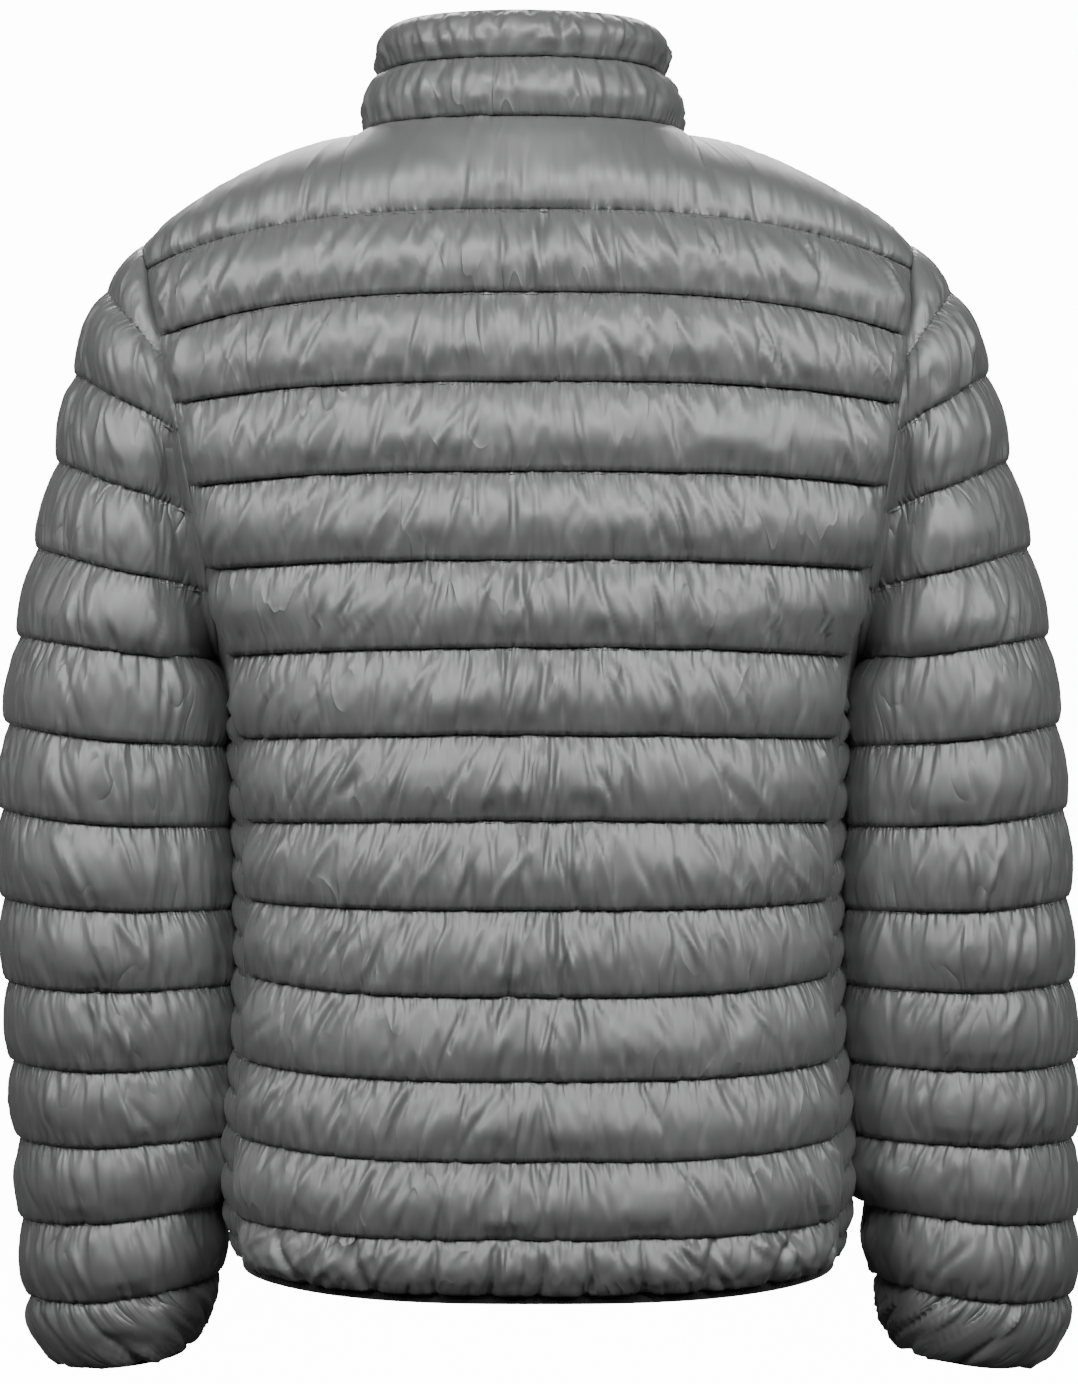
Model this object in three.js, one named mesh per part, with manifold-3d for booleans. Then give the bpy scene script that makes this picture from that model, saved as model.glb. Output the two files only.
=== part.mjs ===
// A quilted puffer jacket with a stand collar, zipped up and filled out as if worn.
// Millimetres, +Z up. The front faces -Y and the wearer's left is +X.
// The origin is the middle of the neck, level with the seam at the nape.
import Module from "manifold-3d";
import * as THREE from "three";
import { mergeVertices } from "three/addons/utils/BufferGeometryUtils.js";

// Cloth and seams
const WALL = 3;            // two layers of cloth and the flattened filling along a stitched line
const HALF_SEAM = 0.15;    // each piece stops this far short of its seam
const CROWN = 8;           // rise of a filled baffle above its stitched lines
const SIDE_CROWN = 4;      // the narrow baffles of the side panels
const PUFF_POWER = 2.4;    // over 2 gives a baffle a flat top and steep edges
const STEPS = 3;           // rows of faces in one baffle

// Neck and collar
const NECK = { frontDrop: 78, dropPower: 4 };
const COLLAR_LINES = [
  { rise: 0, halfWidth: 97, halfDepth: 78, y: -12 },
  { rise: 37, halfWidth: 86, halfDepth: 74, y: -15 },
  { rise: 66, halfWidth: 82, halfDepth: 70, y: -18 },
];
const COLLAR_TOP = COLLAR_LINES.length - 1;

// Shoulder and armhole
const SHOULDER = { x: 238, y: 0, z: -73, curve: 1.6 };
const ARMHOLE = { halfDepth: 80, lowest: -330, power: 2.2, leanIn: 0.175, underarmOut: 10 };
const UNDERARM_HEIGHTS = [-290, -303, -318, -327, -330];   // the last steps down to the lowest point
const SIDE_SEAM_STEP = 17;      // step of the armhole where the side seams start
const UNDERARM_STEP = 20;

// Level lines of stitching on the body, from the neck to the hem.
// z: height and y: depth on the middle line, seamX: half width at the side seam.
const BODY_LINES = [
  { backZ: 0, backY: 66, endZ: -73, frontZ: -78, frontY: -90, seamX: 0 },
  { backZ: -60, backY: 88, endZ: -93, frontZ: -100, frontY: -97, seamX: 0 },
  { backZ: -111, backY: 101, endZ: -136, frontZ: -135, frontY: -107, seamX: 0 },
  { backZ: -165, backY: 108, endZ: -177, frontZ: -176, frontY: -114, seamX: 0 },
  { backZ: -219, backY: 113, endZ: -227, frontZ: -223, frontY: -119, seamX: 0 },
  { backZ: -272, backY: 116, endZ: -276, frontZ: -273, frontY: -123, seamX: 204 },
  { backZ: -324, backY: 117, endZ: -329, frontZ: -325, frontY: -125, seamX: 191 },
  { backZ: -376, backY: 117, endZ: -379, frontZ: -377, frontY: -126, seamX: 184 },
  { backZ: -427, backY: 116, endZ: -430, frontZ: -428, frontY: -127, seamX: 180 },
  { backZ: -480, backY: 115, endZ: -477, frontZ: -479, frontY: -127, seamX: 179 },
  { backZ: -532, backY: 114, endZ: -523, frontZ: -529, frontY: -126, seamX: 179 },
  { backZ: -582, backY: 114, endZ: -575, frontZ: -578, frontY: -125, seamX: 181 },
  { backZ: -630, backY: 115, endZ: -621, frontZ: -625, frontY: -124, seamX: 185 },
  { backZ: -676, backY: 115, endZ: -670, frontZ: -671, frontY: -122, seamX: 185 },
  { backZ: -709, backY: 107, endZ: -700, frontZ: -700, frontY: -114, seamX: 178 },
];
const HEM = BODY_LINES.length - 1;
const SEAM_Y = 50;              // depth of the side seams, in front of and behind the middle
const SEAM_TURN = 70;           // degrees that the body has turned from its back at a side seam
const BODY_POWER = 2.6;         // squareness of a level section
const BODY_OVER = 1.03;         // full half width of a section over its half width at the seam
const DROOP_POWER = 3;          // a line stays level over the middle and drops near its end
const BODY_COLUMNS = 10;        // columns of faces from the middle to a side
const NECK_COLUMNS = 4;         // of those, the ones along the neck
const TOP_ROUND = { middle: 0.25, shoulder: 0.75 };   // how far the top baffle rounds over
const EDGE_FADE = 6;            // a baffle is full from a sixth of the half width inside its side edge
const FRONT_FADE = 1.5;         // columns over which it fills out beside the zip
const COLUMN_SPREAD = 68;       // degrees; crowds the columns towards the sides

// Side panels: how far they bulge out between their seams, flatter at the armhole
const SIDE_REACH = { top: 0.08, below: 0.3, lines: 2 };
const SIDE_SAG_LINES = 1.6;     // lines over which the curve of the armhole levels out

// Stitched lines round a sleeve, from the shoulder to the cuff.
// outX, outZ: outermost point, inX, inZ: innermost point, depth: half depth, y: middle.
// end: step of the armhole where the line ends, up to the underarm.
const SLEEVE_LINES = [
  { outX: 238, outZ: -73, inX: 0, inZ: 0, depth: 49, y: 0, end: 3 },
  { outX: 263, outZ: -103, inX: 0, inZ: 0, depth: 77, y: 0, end: 7 },
  { outX: 283, outZ: -155, inX: 0, inZ: 0, depth: 83, y: 0, end: 10 },
  { outX: 295, outZ: -209, inX: 0, inZ: 0, depth: 82, y: 0, end: 13 },
  { outX: 308, outZ: -263, inX: 0, inZ: 0, depth: 80, y: 0, end: 16 },
  { outX: 319, outZ: -318, inX: 203, inZ: -330, depth: 79, y: 0, end: 20 },
  { outX: 326, outZ: -372, inX: 209, inZ: -386, depth: 78, y: -1, end: 20 },
  { outX: 330, outZ: -425, inX: 208, inZ: -436, depth: 77, y: -3, end: 20 },
  { outX: 330, outZ: -480, inX: 205, inZ: -487, depth: 76, y: -6, end: 20 },
  { outX: 329, outZ: -532, inX: 204, inZ: -534, depth: 75, y: -10, end: 20 },
  { outX: 328, outZ: -582, inX: 204, inZ: -582, depth: 73, y: -15, end: 20 },
  { outX: 326, outZ: -631, inX: 205, inZ: -627, depth: 71, y: -20, end: 20 },
  { outX: 326, outZ: -682, inX: 206, inZ: -670, depth: 68, y: -25, end: 20 },
  { outX: 322, outZ: -731, inX: 209, inZ: -718, depth: 64, y: -29, end: 20 },
  { outX: 301, outZ: -768, inX: 228, inZ: -760, depth: 42, y: -31, end: 20 },
];
const CUFF = SLEEVE_LINES.length - 1;
const UNDERARM_LINE = 5;
const SLEEVE_HALF_COLUMNS = 9;
const SLEEVE_OVER = 1.02;          // half depth of a sleeve over that of the armhole it meets
const SLEEVE_INNER = { crown: 0.45, from: 0.45, to: 0.95 };   // squeezed flatter next to the body
const SLEEVE_AXIS = { x: 262, topX: 215, rise: 36, from: -330, to: -150 };
const ARMHOLE_SLOPE = { degrees: 30, steps: 9 };   // tilt of the armhole seam below the shoulder
const CUFF_CROWN = 11;
const SWING = { from: -430, to: -770, left: -7, right: 8 };   // how far each cuff hangs aside

// Elastic bindings of the hem and the cuffs
const BINDING = { height: 9, thickness: 2.6, tuck: 2.5 };
const CUFF_RISE = 1;            // the cut edge of a cuff slopes up to its inside, over the binding

// Zip: two tapes behind the front edges, a slider at the top and its pull tab
const FRONT_EDGE = 7;              // half width of the slot between the front edges
const ZIP = {
  tapeWidth: 15,
  tape: 1,
  chain: 2.6,
  chainHalf: 3,
  parting: 0.15,
  behind: 0.6,
  slope: 1.4,
  topLeft: 9,
};
const SLIDER = { width: 9, length: 12, plate: 1.4, bridge: 2.2, clearance: 0.45 };
const BAIL = { width: 2.2, rise: 4.4, length: 9, bar: 1.3, below: 1 };
const PULL = {
  width: 6,
  length: 30,
  thickness: 1.4,
  taper: 0.8,
  holeWidth: 3.2,
  holeLength: 5,
  rim: 1.2,
  seat: 0.4,
};

// Above the chest the jacket leans to one side, as it hangs.
const LEAN = { from: -215, to: 10, reach: 10 };

// Colours
const SHELL_COLOUR = 0x6f7072;
const ELASTIC_COLOUR = 0x141415;
const TAPE_COLOUR = 0x2a2a2b;
const METAL_COLOUR = 0x3b3c3e;

const V = (x, y, z) => new THREE.Vector3(x, y, z);
const mix = (a, b, share) => a + (b - a) * share;
const radians = THREE.MathUtils.degToRad;
const smooth = (low, high, value) => THREE.MathUtils.smoothstep(value, low, high);
const NEAR = 0.001;             // lines are counted in thirds, so whole ones carry a rounding error
const isWhole = (line) => Math.abs(line - Math.round(line)) < NEAR;

// A named column of a table read at a fractional row, as a smooth curve through the rows.
function readTable(table, column, row, first = 0) {
  const last = table.length - 1;
  const i = Math.min(Math.max(Math.floor(row), first), last - 1);
  const f = row - i;
  const at = (k) => table[Math.min(Math.max(k, first), last)][column];
  const slopeIn = (at(i + 1) - at(i - 1)) / (i - 1 < first ? 1 : 2);
  const slopeOut = (at(i + 2) - at(i)) / (i + 2 > last ? 1 : 2);
  const ff = f * f;
  const fff = ff * f;
  return at(i) * (2 * fff - 3 * ff + 1) + slopeIn * (fff - 2 * ff + f)
    + at(i + 1) * (3 * ff - 2 * fff) + slopeOut * (fff - ff);
}

const leanAt = (z) => LEAN.reach * (smooth(LEAN.from, LEAN.to, z) - 1);
const puff = (share) => 1 - Math.abs(2 * share - 1) ** PUFF_POWER;

// The neck seam and the rings of the collar above it, at an angle from the nape.
function collarPoint(angle, line) {
  const halfWidth = readTable(COLLAR_LINES, "halfWidth", line);
  const halfDepth = readTable(COLLAR_LINES, "halfDepth", line);
  const drop = NECK.frontDrop * ((1 - Math.cos(angle)) / 2) ** NECK.dropPower;
  const z = readTable(COLLAR_LINES, "rise", line) - drop;
  return V(halfWidth * Math.sin(angle), readTable(COLLAR_LINES, "y", line) + halfDepth * Math.cos(angle), z);
}
const FRONT_ANGLE = Math.PI - Math.asin(FRONT_EDGE / COLLAR_LINES[0].halfWidth);

// The shoulder seam, from the neck at share 0 to the armhole at share 1.
function shoulderPoint(share) {
  const neck = collarPoint(Math.PI / 2, 0);
  return V(mix(neck.x, SHOULDER.x, share), mix(neck.y, SHOULDER.y, share),
    mix(neck.z, SHOULDER.z, share ** SHOULDER.curve));
}

// The armhole, in steps from the shoulder down to the underarm. Every piece that meets it
// has its edge on these points. facing is 1 behind the arm and -1 in front of it.
function armholePoint(step, facing) {
  const whole = Math.floor(step);
  if (step > whole) {
    return armholePoint(whole, facing).lerp(armholePoint(whole + 1, facing), step - whole);
  }
  const tabled = UNDERARM_STEP - UNDERARM_HEIGHTS.length;
  let z = 0;
  if (step > tabled) {
    z = UNDERARM_HEIGHTS[step - tabled - 1];
  } else {
    const line = Math.floor(step / STEPS);
    const next = Math.min(line + 1, HEM);
    z = mix(BODY_LINES[line].endZ, BODY_LINES[next].endZ, step / STEPS - line);
  }
  const middle = (SHOULDER.z + ARMHOLE.lowest) / 2;
  const halfHeight = (SHOULDER.z - ARMHOLE.lowest) / 2;
  const across = (1 - Math.abs((z - middle) / halfHeight) ** ARMHOLE.power) ** (1 / ARMHOLE.power);
  let x = SHOULDER.x + ARMHOLE.leanIn * (z - SHOULDER.z);
  if (z < middle) {
    x += ARMHOLE.underarmOut * (1 - across) ** 2;
  }
  return V(x, facing * ARMHOLE.halfDepth * across, z);
}

// Where a body line ends: on the armhole, or below it on the side seam.
function bodyEnd(line, facing) {
  const step = line * STEPS;
  if (step <= SIDE_SEAM_STEP + NEAR) {
    return armholePoint(Math.round(step), facing);
  }
  const top = armholePoint(SIDE_SEAM_STEP, facing);
  const below = smooth(SIDE_SEAM_STEP / STEPS, SIDE_SEAM_STEP / STEPS + 1, line);
  return V(readTable(BODY_LINES, "seamX", line, UNDERARM_LINE), mix(top.y, facing * SEAM_Y, below),
    readTable(BODY_LINES, "endZ", line));
}

// A point of the front or back panel. Column 0 is the middle, BODY_COLUMNS the side.
function bodyPoint(line, column, facing) {
  const inner = facing > 0 ? 0 : FRONT_EDGE;
  if (line < 1) {
    let top = null;
    const whole = Math.floor(column);
    if (column > whole) {
      top = bodyPoint(0, whole, facing).lerp(bodyPoint(0, whole + 1, facing), column - whole);
    } else if (column <= NECK_COLUMNS) {
      const reach = facing > 0 ? 0 : FRONT_ANGLE;
      top = collarPoint(mix(reach, Math.PI / 2, column / NECK_COLUMNS), 0);
    } else {
      top = shoulderPoint((column - NECK_COLUMNS) / (BODY_COLUMNS - NECK_COLUMNS));
    }
    return line === 0 ? top : topBafflePoint(top, line, column, facing);
  }
  const end = bodyEnd(line, facing);
  const spread = radians(COLUMN_SPREAD);
  const share = Math.sin((column / BODY_COLUMNS) * spread) / Math.sin(spread);
  const x = mix(inner, end.x, share);
  const middleY = readTable(BODY_LINES, facing > 0 ? "backY" : "frontY", line);
  const middleZ = readTable(BODY_LINES, facing > 0 ? "backZ" : "frontZ", line);
  const round = (value) => (1 - (value / (BODY_OVER * end.x)) ** BODY_POWER) ** (1 / BODY_POWER);
  const depth = (middleY - end.y) / (1 - round(end.x));
  return V(x, middleY - depth * (1 - round(x)), mix(middleZ, end.z, (x / end.x) ** DROOP_POWER));
}

// The top baffle rounds over from the neck and shoulder seams to the first line.
function topBafflePoint(top, line, column, facing) {
  const bottom = bodyPoint(1, column, facing);
  const round = mix(TOP_ROUND.middle, TOP_ROUND.shoulder, Math.min(1, column / NECK_COLUMNS));
  const quarter = (Math.PI / 2) * line;
  const point = V(mix(top.x, bottom.x, line), mix(top.y, bottom.y, mix(line, Math.sin(quarter), round)),
    mix(top.z, bottom.z, mix(line, 1 - Math.cos(quarter), round)));
  if (column === BODY_COLUMNS) {
    point.copy(bodyEnd(line, facing));
  }
  return point;
}

// A point of a side panel. Column 0 is the back seam, SIDE_COLUMNS the front seam.
const SIDE_COLUMNS = 2 * (UNDERARM_STEP - SIDE_SEAM_STEP);
const SIDE_TOP = SIDE_SEAM_STEP / STEPS;
function sidePoint(line, column) {
  const half = SIDE_COLUMNS / 2;
  const share = column / SIDE_COLUMNS;
  const behind = line <= SIDE_TOP ? armholePoint(SIDE_SEAM_STEP, 1) : bodyEnd(line, 1);
  const before = line <= SIDE_TOP ? armholePoint(SIDE_SEAM_STEP, -1) : bodyEnd(line, -1);
  const settled = smooth(SIDE_TOP, SIDE_TOP + SIDE_REACH.lines, line);
  const reach = mix(SIDE_REACH.top, SIDE_REACH.below, settled) * behind.distanceTo(before);
  const out = reach * Math.cos(radians(SEAM_TURN));
  const inward = reach * Math.sin(radians(SEAM_TURN));
  const across = (from, to) => new THREE.CubicBezierCurve3(
    from,
    from.clone().add(V(out, -inward, 0)),
    to.clone().add(V(out, inward, 0)),
    to,
  ).getPoint(share);
  const facing = column <= half ? 1 : -1;
  const top = armholePoint(UNDERARM_STEP - Math.abs(column - half), facing);
  const sag = top.sub(across(armholePoint(SIDE_SEAM_STEP, 1), armholePoint(SIDE_SEAM_STEP, -1)));
  const fromTop = 1 - smooth(SIDE_TOP, SIDE_TOP + SIDE_SAG_LINES, line);
  return across(behind, before).addScaledVector(sag, fromTop);
}

// A point of a sleeve. Column 0 is the outermost line, SLEEVE_HALF_COLUMNS the seam under the
// arm or the armhole, and the sign of the column is the side, 1 behind and -1 in front.
function sleevePoint(line, column, swing) {
  const facing = column < 0 ? -1 : 1;
  const share = Math.abs(column) / SLEEVE_HALF_COLUMNS;
  if (line === 0) {
    return armholePoint(SLEEVE_LINES[0].end * share, facing);
  }
  const read = (name, first) => readTable(SLEEVE_LINES, name, line, first);
  const out = V(read("outX"), 0, read("outZ"));
  const y = read("y");
  let depth = read("depth");
  let end = V(read("inX", UNDERARM_LINE), 0, read("inZ", UNDERARM_LINE));
  if (line < UNDERARM_LINE) {
    const row = Math.floor(line + NEAR);
    const step = mix(SLEEVE_LINES[row].end, SLEEVE_LINES[row + 1].end, line - row);
    end = armholePoint(Math.round(step), facing);
  }
  depth = Math.max(depth, SLEEVE_OVER * Math.abs(end.y));
  const full = Math.PI - Math.asin(Math.abs(end.y) / depth);
  const angle = full * share;
  const along = (1 - Math.cos(angle)) / (1 - Math.cos(full));
  const z = mix(out.z, end.z, along);
  const aside = swing * smooth(-SWING.from, -SWING.to, -z);
  return V(mix(out.x, end.x, along) + aside, y + facing * depth * Math.sin(angle), z);
}

// Rows of points become a closed wall. Each row has outer points, and those with inner points
// too carry the plain inside. ring joins the last column to the first.
function wallGeometry(rows, ring = false) {
  const positions = [];
  const faces = [];
  const add = (point) => positions.push(point.x, point.y, point.z) / 3 - 1;
  const outer = rows.map((row) => row.outer.map(add));
  const inner = rows.map((row) => (row.inner ? row.inner.map(add) : null));
  const count = outer[0].length;
  const quad = (a, b, c, d) => faces.push(a, b, c, a, c, d);
  const carried = rows.map((_, i) => i).filter((i) => inner[i]);
  const columns = ring ? count : count - 1;
  for (let k = 0; k < columns; k += 1) {
    const n = (k + 1) % count;
    for (let i = 0; i + 1 < rows.length; i += 1) {
      quad(outer[i][k], outer[i + 1][k], outer[i + 1][n], outer[i][n]);
    }
    for (let j = 0; j + 1 < carried.length; j += 1) {
      const a = inner[carried[j]];
      const b = inner[carried[j + 1]];
      quad(a[k], a[n], b[n], b[k]);
    }
    const last = rows.length - 1;
    quad(outer[0][k], outer[0][n], inner[0][n], inner[0][k]);
    quad(outer[last][n], outer[last][k], inner[last][k], inner[last][n]);
  }
  if (!ring) {
    for (let j = 0; j + 1 < carried.length; j += 1) {
      const a = carried[j];
      const b = carried[j + 1];
      for (const [k, flip] of [[0, true], [count - 1, false]]) {
        const edge = [inner[a][k]];
        for (let i = a; i <= b; i += 1) {
          edge.push(outer[i][k]);
        }
        edge.push(inner[b][k]);
        for (let i = 1; i + 1 < edge.length; i += 1) {
          faces.push(edge[0], edge[flip ? i + 1 : i], edge[flip ? i : i + 1]);
        }
      }
    }
  }
  return closedGeometry(positions, faces);
}

// A buffer geometry with every face turned outwards.
function closedGeometry(positions, faces) {
  const corner = (i) => V(positions[3 * i], positions[3 * i + 1], positions[3 * i + 2]);
  let volume = 0;
  for (let i = 0; i < faces.length; i += 3) {
    volume += corner(faces[i]).dot(corner(faces[i + 1]).cross(corner(faces[i + 2])));
  }
  const turned = [];
  for (let i = 0; i < faces.length; i += 3) {
    turned.push(faces[i], faces[volume < 0 ? i + 2 : i + 1], faces[volume < 0 ? i + 1 : i + 2]);
  }
  const geometry = new THREE.BufferGeometry();
  geometry.setAttribute("position", new THREE.Float32BufferAttribute(positions, 3));
  geometry.setIndex(turned);
  geometry.computeVertexNormals();
  return geometry;
}

// A quilted panel over a grid of base points.
// crown(i, k) is the rise of a point, gaps(i, k) lists the ways to the seams beside it,
// plain(i) says whether the row also carries the inside, outward points out of the cloth.
function quiltedPanel({ grid, crown, gaps, plain, outward }) {
  const height = grid.length;
  const width = grid[0].length;
  return grid.map((row, i) => {
    const outer = [];
    const inner = plain(i) ? [] : null;
    row.forEach((base, k) => {
      const across = grid[i][Math.min(k + 1, width - 1)].clone().sub(grid[i][Math.max(k - 1, 0)]);
      const down = grid[Math.min(i + 1, height - 1)][k].clone().sub(grid[Math.max(i - 1, 0)][k]);
      const normal = across.cross(down).normalize();
      if (normal.dot(outward(base)) < 0) {
        normal.negate();
      }
      const point = base.clone();
      for (const gap of gaps(i, k)) {
        point.addScaledVector(gap, -HALF_SEAM);
        const over = -normal.dot(gap);
        if (over > 0) {
          normal.addScaledVector(gap, over).normalize();
        }
      }
      outer.push(point.clone().addScaledVector(normal, crown(i, k)));
      if (inner) {
        inner.push(point.clone().addScaledVector(normal, -WALL));
      }
    });
    return { outer, inner };
  });
}

// The way across a seam, square to the seam itself.
function squareTo(way, tangent) {
  const along = tangent.clone().normalize();
  return way.clone().addScaledVector(along, -way.dot(along)).normalize();
}

// The way from the body to the sleeve at a step of the armhole.
function armholeGap(step, facing) {
  const before = step > 0 ? armholePoint(step - 1, facing) : armholePoint(1, -facing);
  const after = step < UNDERARM_STEP ? armholePoint(step + 1, facing) : armholePoint(step - 1, -facing);
  const slope = radians(ARMHOLE_SLOPE.degrees) * (1 - smooth(0, ARMHOLE_SLOPE.steps, step));
  return squareTo(V(Math.cos(slope), 0, -Math.sin(slope)), after.sub(before));
}

const UP = V(0, 0, 1);
const DOWN = V(0, 0, -1);

// Turn a built wall to its side of the body and lean it with the rest.
function place(rows, side) {
  for (const row of rows) {
    for (const point of [...row.outer, ...(row.inner || [])]) {
      point.x = side * point.x + leanAt(point.z);
    }
  }
  return rows;
}

const jacket = new THREE.Group();
const shell = () => new THREE.MeshStandardMaterial({ color: SHELL_COLOUR, roughness: 0.4, metalness: 0 });
const elastic = () => new THREE.MeshStandardMaterial({ color: ELASTIC_COLOUR, roughness: 0.9, metalness: 0 });
const tape = () => new THREE.MeshStandardMaterial({ color: TAPE_COLOUR, roughness: 0.8, metalness: 0 });
const metal = () => new THREE.MeshStandardMaterial({ color: METAL_COLOUR, roughness: 0.35, metalness: 0.9 });

function addPiece(name, geometry, material) {
  const mesh = new THREE.Mesh(geometry, material);
  mesh.name = name;
  jacket.add(mesh);
}

const SIDES = [["left", 1], ["right", -1]];

// Rows of a body panel: thirds of a baffle, counted in lines.
const bodyRows = Array.from({ length: HEM * STEPS + 1 }, (_, i) => i / STEPS);
const bodyPlain = (i) => i <= SIDE_SEAM_STEP || i % STEPS === 0;

function bodyCrown(line, columnShare) {
  const edge = Math.min(1, EDGE_FADE * (1 - columnShare));
  return CROWN * puff(line % 1) * edge;
}

// The ways to the seams round a body panel whose side edge is at the given column.
function bodyGaps(i, column, facing) {
  const gaps = [];
  if (column === BODY_COLUMNS) {
    const turn = radians(SEAM_TURN);
    if (i <= SIDE_SEAM_STEP) {
      gaps.push(armholeGap(i, facing));
    }
    if (i >= SIDE_SEAM_STEP) {
      gaps.push(V(Math.cos(turn), -facing * Math.sin(turn), 0));
    }
  }
  if (i === 0) {
    gaps.push(column < NECK_COLUMNS ? UP : V(0, -facing, 0));
    if (column === NECK_COLUMNS) {
      gaps.push(UP);
    }
  }
  if (i === HEM * STEPS) {
    gaps.push(DOWN);
  }
  return gaps;
}

// Back panel
{
  const columns = Array.from({ length: 2 * BODY_COLUMNS + 1 }, (_, k) => k - BODY_COLUMNS);
  const flip = (point, column) => {
    point.x *= Math.sign(column);
    return point;
  };
  const grid = bodyRows.map((line) => columns.map((c) => flip(bodyPoint(line, Math.abs(c), 1), c)));
  const rows = quiltedPanel({
    grid,
    crown: (i, k) => bodyCrown(bodyRows[i], Math.abs(columns[k]) / BODY_COLUMNS),
    gaps: (i, k) => bodyGaps(i, Math.abs(columns[k]), 1).map((gap) => flip(gap.clone(), columns[k] || 1)),
    plain: bodyPlain,
    outward: () => V(0, 1, 0.5),
  });
  addPiece("back", wallGeometry(place(rows, 1)), shell());
}

// Front panels, with a free edge beside the zip
for (const [side, sign] of SIDES) {
  const columns = [0, 0.5, ...Array.from({ length: BODY_COLUMNS }, (_, k) => k + 1)];
  const grid = bodyRows.map((line) => columns.map((c) => bodyPoint(line, c, -1)));
  const rows = quiltedPanel({
    grid,
    crown: (i, k) => bodyCrown(bodyRows[i], columns[k] / BODY_COLUMNS) * Math.min(1, k / FRONT_FADE),
    gaps: (i, k) => bodyGaps(i, columns[k], -1),
    plain: bodyPlain,
    outward: () => V(0, -1, 0.5),
  });
  addPiece(`front_${side}`, wallGeometry(place(rows, sign)), shell());
}

// Side panels, with baffles half as high
{
  const fine = 2 * STEPS;
  const first = SIDE_SEAM_STEP * 2;
  const lines = Array.from({ length: HEM * fine + 1 - first }, (_, i) => (i + first) / fine);
  const columns = Array.from({ length: SIDE_COLUMNS + 1 }, (_, k) => k);
  for (const [side, sign] of SIDES) {
    const grid = lines.map((line, i) => columns.map((c) => {
      if (i % 2 === 1) {
        return sidePoint(lines[i - 1], c).lerp(sidePoint(lines[i + 1], c), 0.5);
      }
      return sidePoint(line, c);
    }));
    const rows = quiltedPanel({
      grid,
      crown: (i, k) => SIDE_CROWN * puff((2 * lines[i]) % 1)
        * Math.sqrt(Math.sin((Math.PI * k) / SIDE_COLUMNS)) * smooth(SIDE_TOP, SIDE_TOP + 1, lines[i]),
      gaps: (i, k) => {
        const gaps = [];
        const turn = radians(SEAM_TURN);
        if (k === 0 || k === SIDE_COLUMNS) {
          gaps.push(V(-Math.cos(turn), (k === 0 ? 1 : -1) * Math.sin(turn), 0));
        }
        if (i === 0) {
          const half = SIDE_COLUMNS / 2;
          gaps.push(armholeGap(UNDERARM_STEP - Math.abs(k - half), k <= half ? 1 : -1));
        }
        if (i === lines.length - 1) {
          gaps.push(DOWN);
        }
        return gaps;
      },
      plain: (i) => i === 0 || isWhole(lines[i]),
      outward: () => V(1, 0, 0),
    });
    addPiece(`side_${side}`, wallGeometry(place(rows, sign)), shell());
  }
}

// Sleeves: one piece each, closed by the seam under the arm
const sleeveRows = [0];
for (let line = 0; line < CUFF; line += 1) {
  const steps = line < UNDERARM_LINE ? SLEEVE_LINES[line + 1].end - SLEEVE_LINES[line].end : STEPS;
  for (let step = 1; step <= steps; step += 1) {
    sleeveRows.push(line + step / steps);
  }
}
const sleeveColumns = Array.from({ length: 2 * SLEEVE_HALF_COLUMNS + 1 }, (_, k) => k - SLEEVE_HALF_COLUMNS);
const cuffRows = {};
for (const [side, sign] of SIDES) {
  const swing = SWING[side];
  const grid = sleeveRows.map((line) => sleeveColumns.map((c) => sleevePoint(line, c, swing)));
  const onSeam = (k) => k === 0 || k === sleeveColumns.length - 1;
  const rows = quiltedPanel({
    grid,
    crown: (i, k) => {
      const line = sleeveRows[i];
      const share = Math.abs(sleeveColumns[k]) / SLEEVE_HALF_COLUMNS;
      const edge = onSeam(k) ? 0 : 1;
      const full = line > CUFF - 1 ? CUFF_CROWN : CROWN;
      const squeezed = smooth(SLEEVE_INNER.from, SLEEVE_INNER.to, share);
      return full * puff(line % 1) * edge * mix(1, SLEEVE_INNER.crown, squeezed);
    },
    gaps: (i, k) => {
      const gaps = [];
      const line = sleeveRows[i];
      const facing = sleeveColumns[k] < 0 ? -1 : 1;
      const steps = Math.round(SLEEVE_LINES[0].end * Math.abs(sleeveColumns[k]) / SLEEVE_HALF_COLUMNS);
      if (i === 0) {
        gaps.push(armholeGap(steps, facing).negate());
      } else if (onSeam(k) && line <= UNDERARM_LINE) {
        const row = Math.min(Math.floor(line + NEAR), UNDERARM_LINE - 1);
        const step = mix(SLEEVE_LINES[row].end, SLEEVE_LINES[row + 1].end, line - row);
        gaps.push(armholeGap(Math.round(step), facing).negate());
      }
      if (onSeam(k) && line >= UNDERARM_LINE) {
        gaps.push(V(0, -facing, 0));
      }
      if (i === grid.length - 1) {
        gaps.push(DOWN);
      }
      return gaps;
    },
    plain: (i) => sleeveRows[i] <= UNDERARM_LINE || isWhole(sleeveRows[i]),
    outward: (point) => {
      const high = smooth(SLEEVE_AXIS.from, SLEEVE_AXIS.to, point.z);
      return V(point.x - mix(SLEEVE_AXIS.x, SLEEVE_AXIS.topX, high), point.y, SLEEVE_AXIS.rise * high);
    },
  });
  addPiece(`sleeve_${side}`, wallGeometry(place(rows, sign)), shell());
  cuffRows[side] = rows[rows.length - 1];
}

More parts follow.
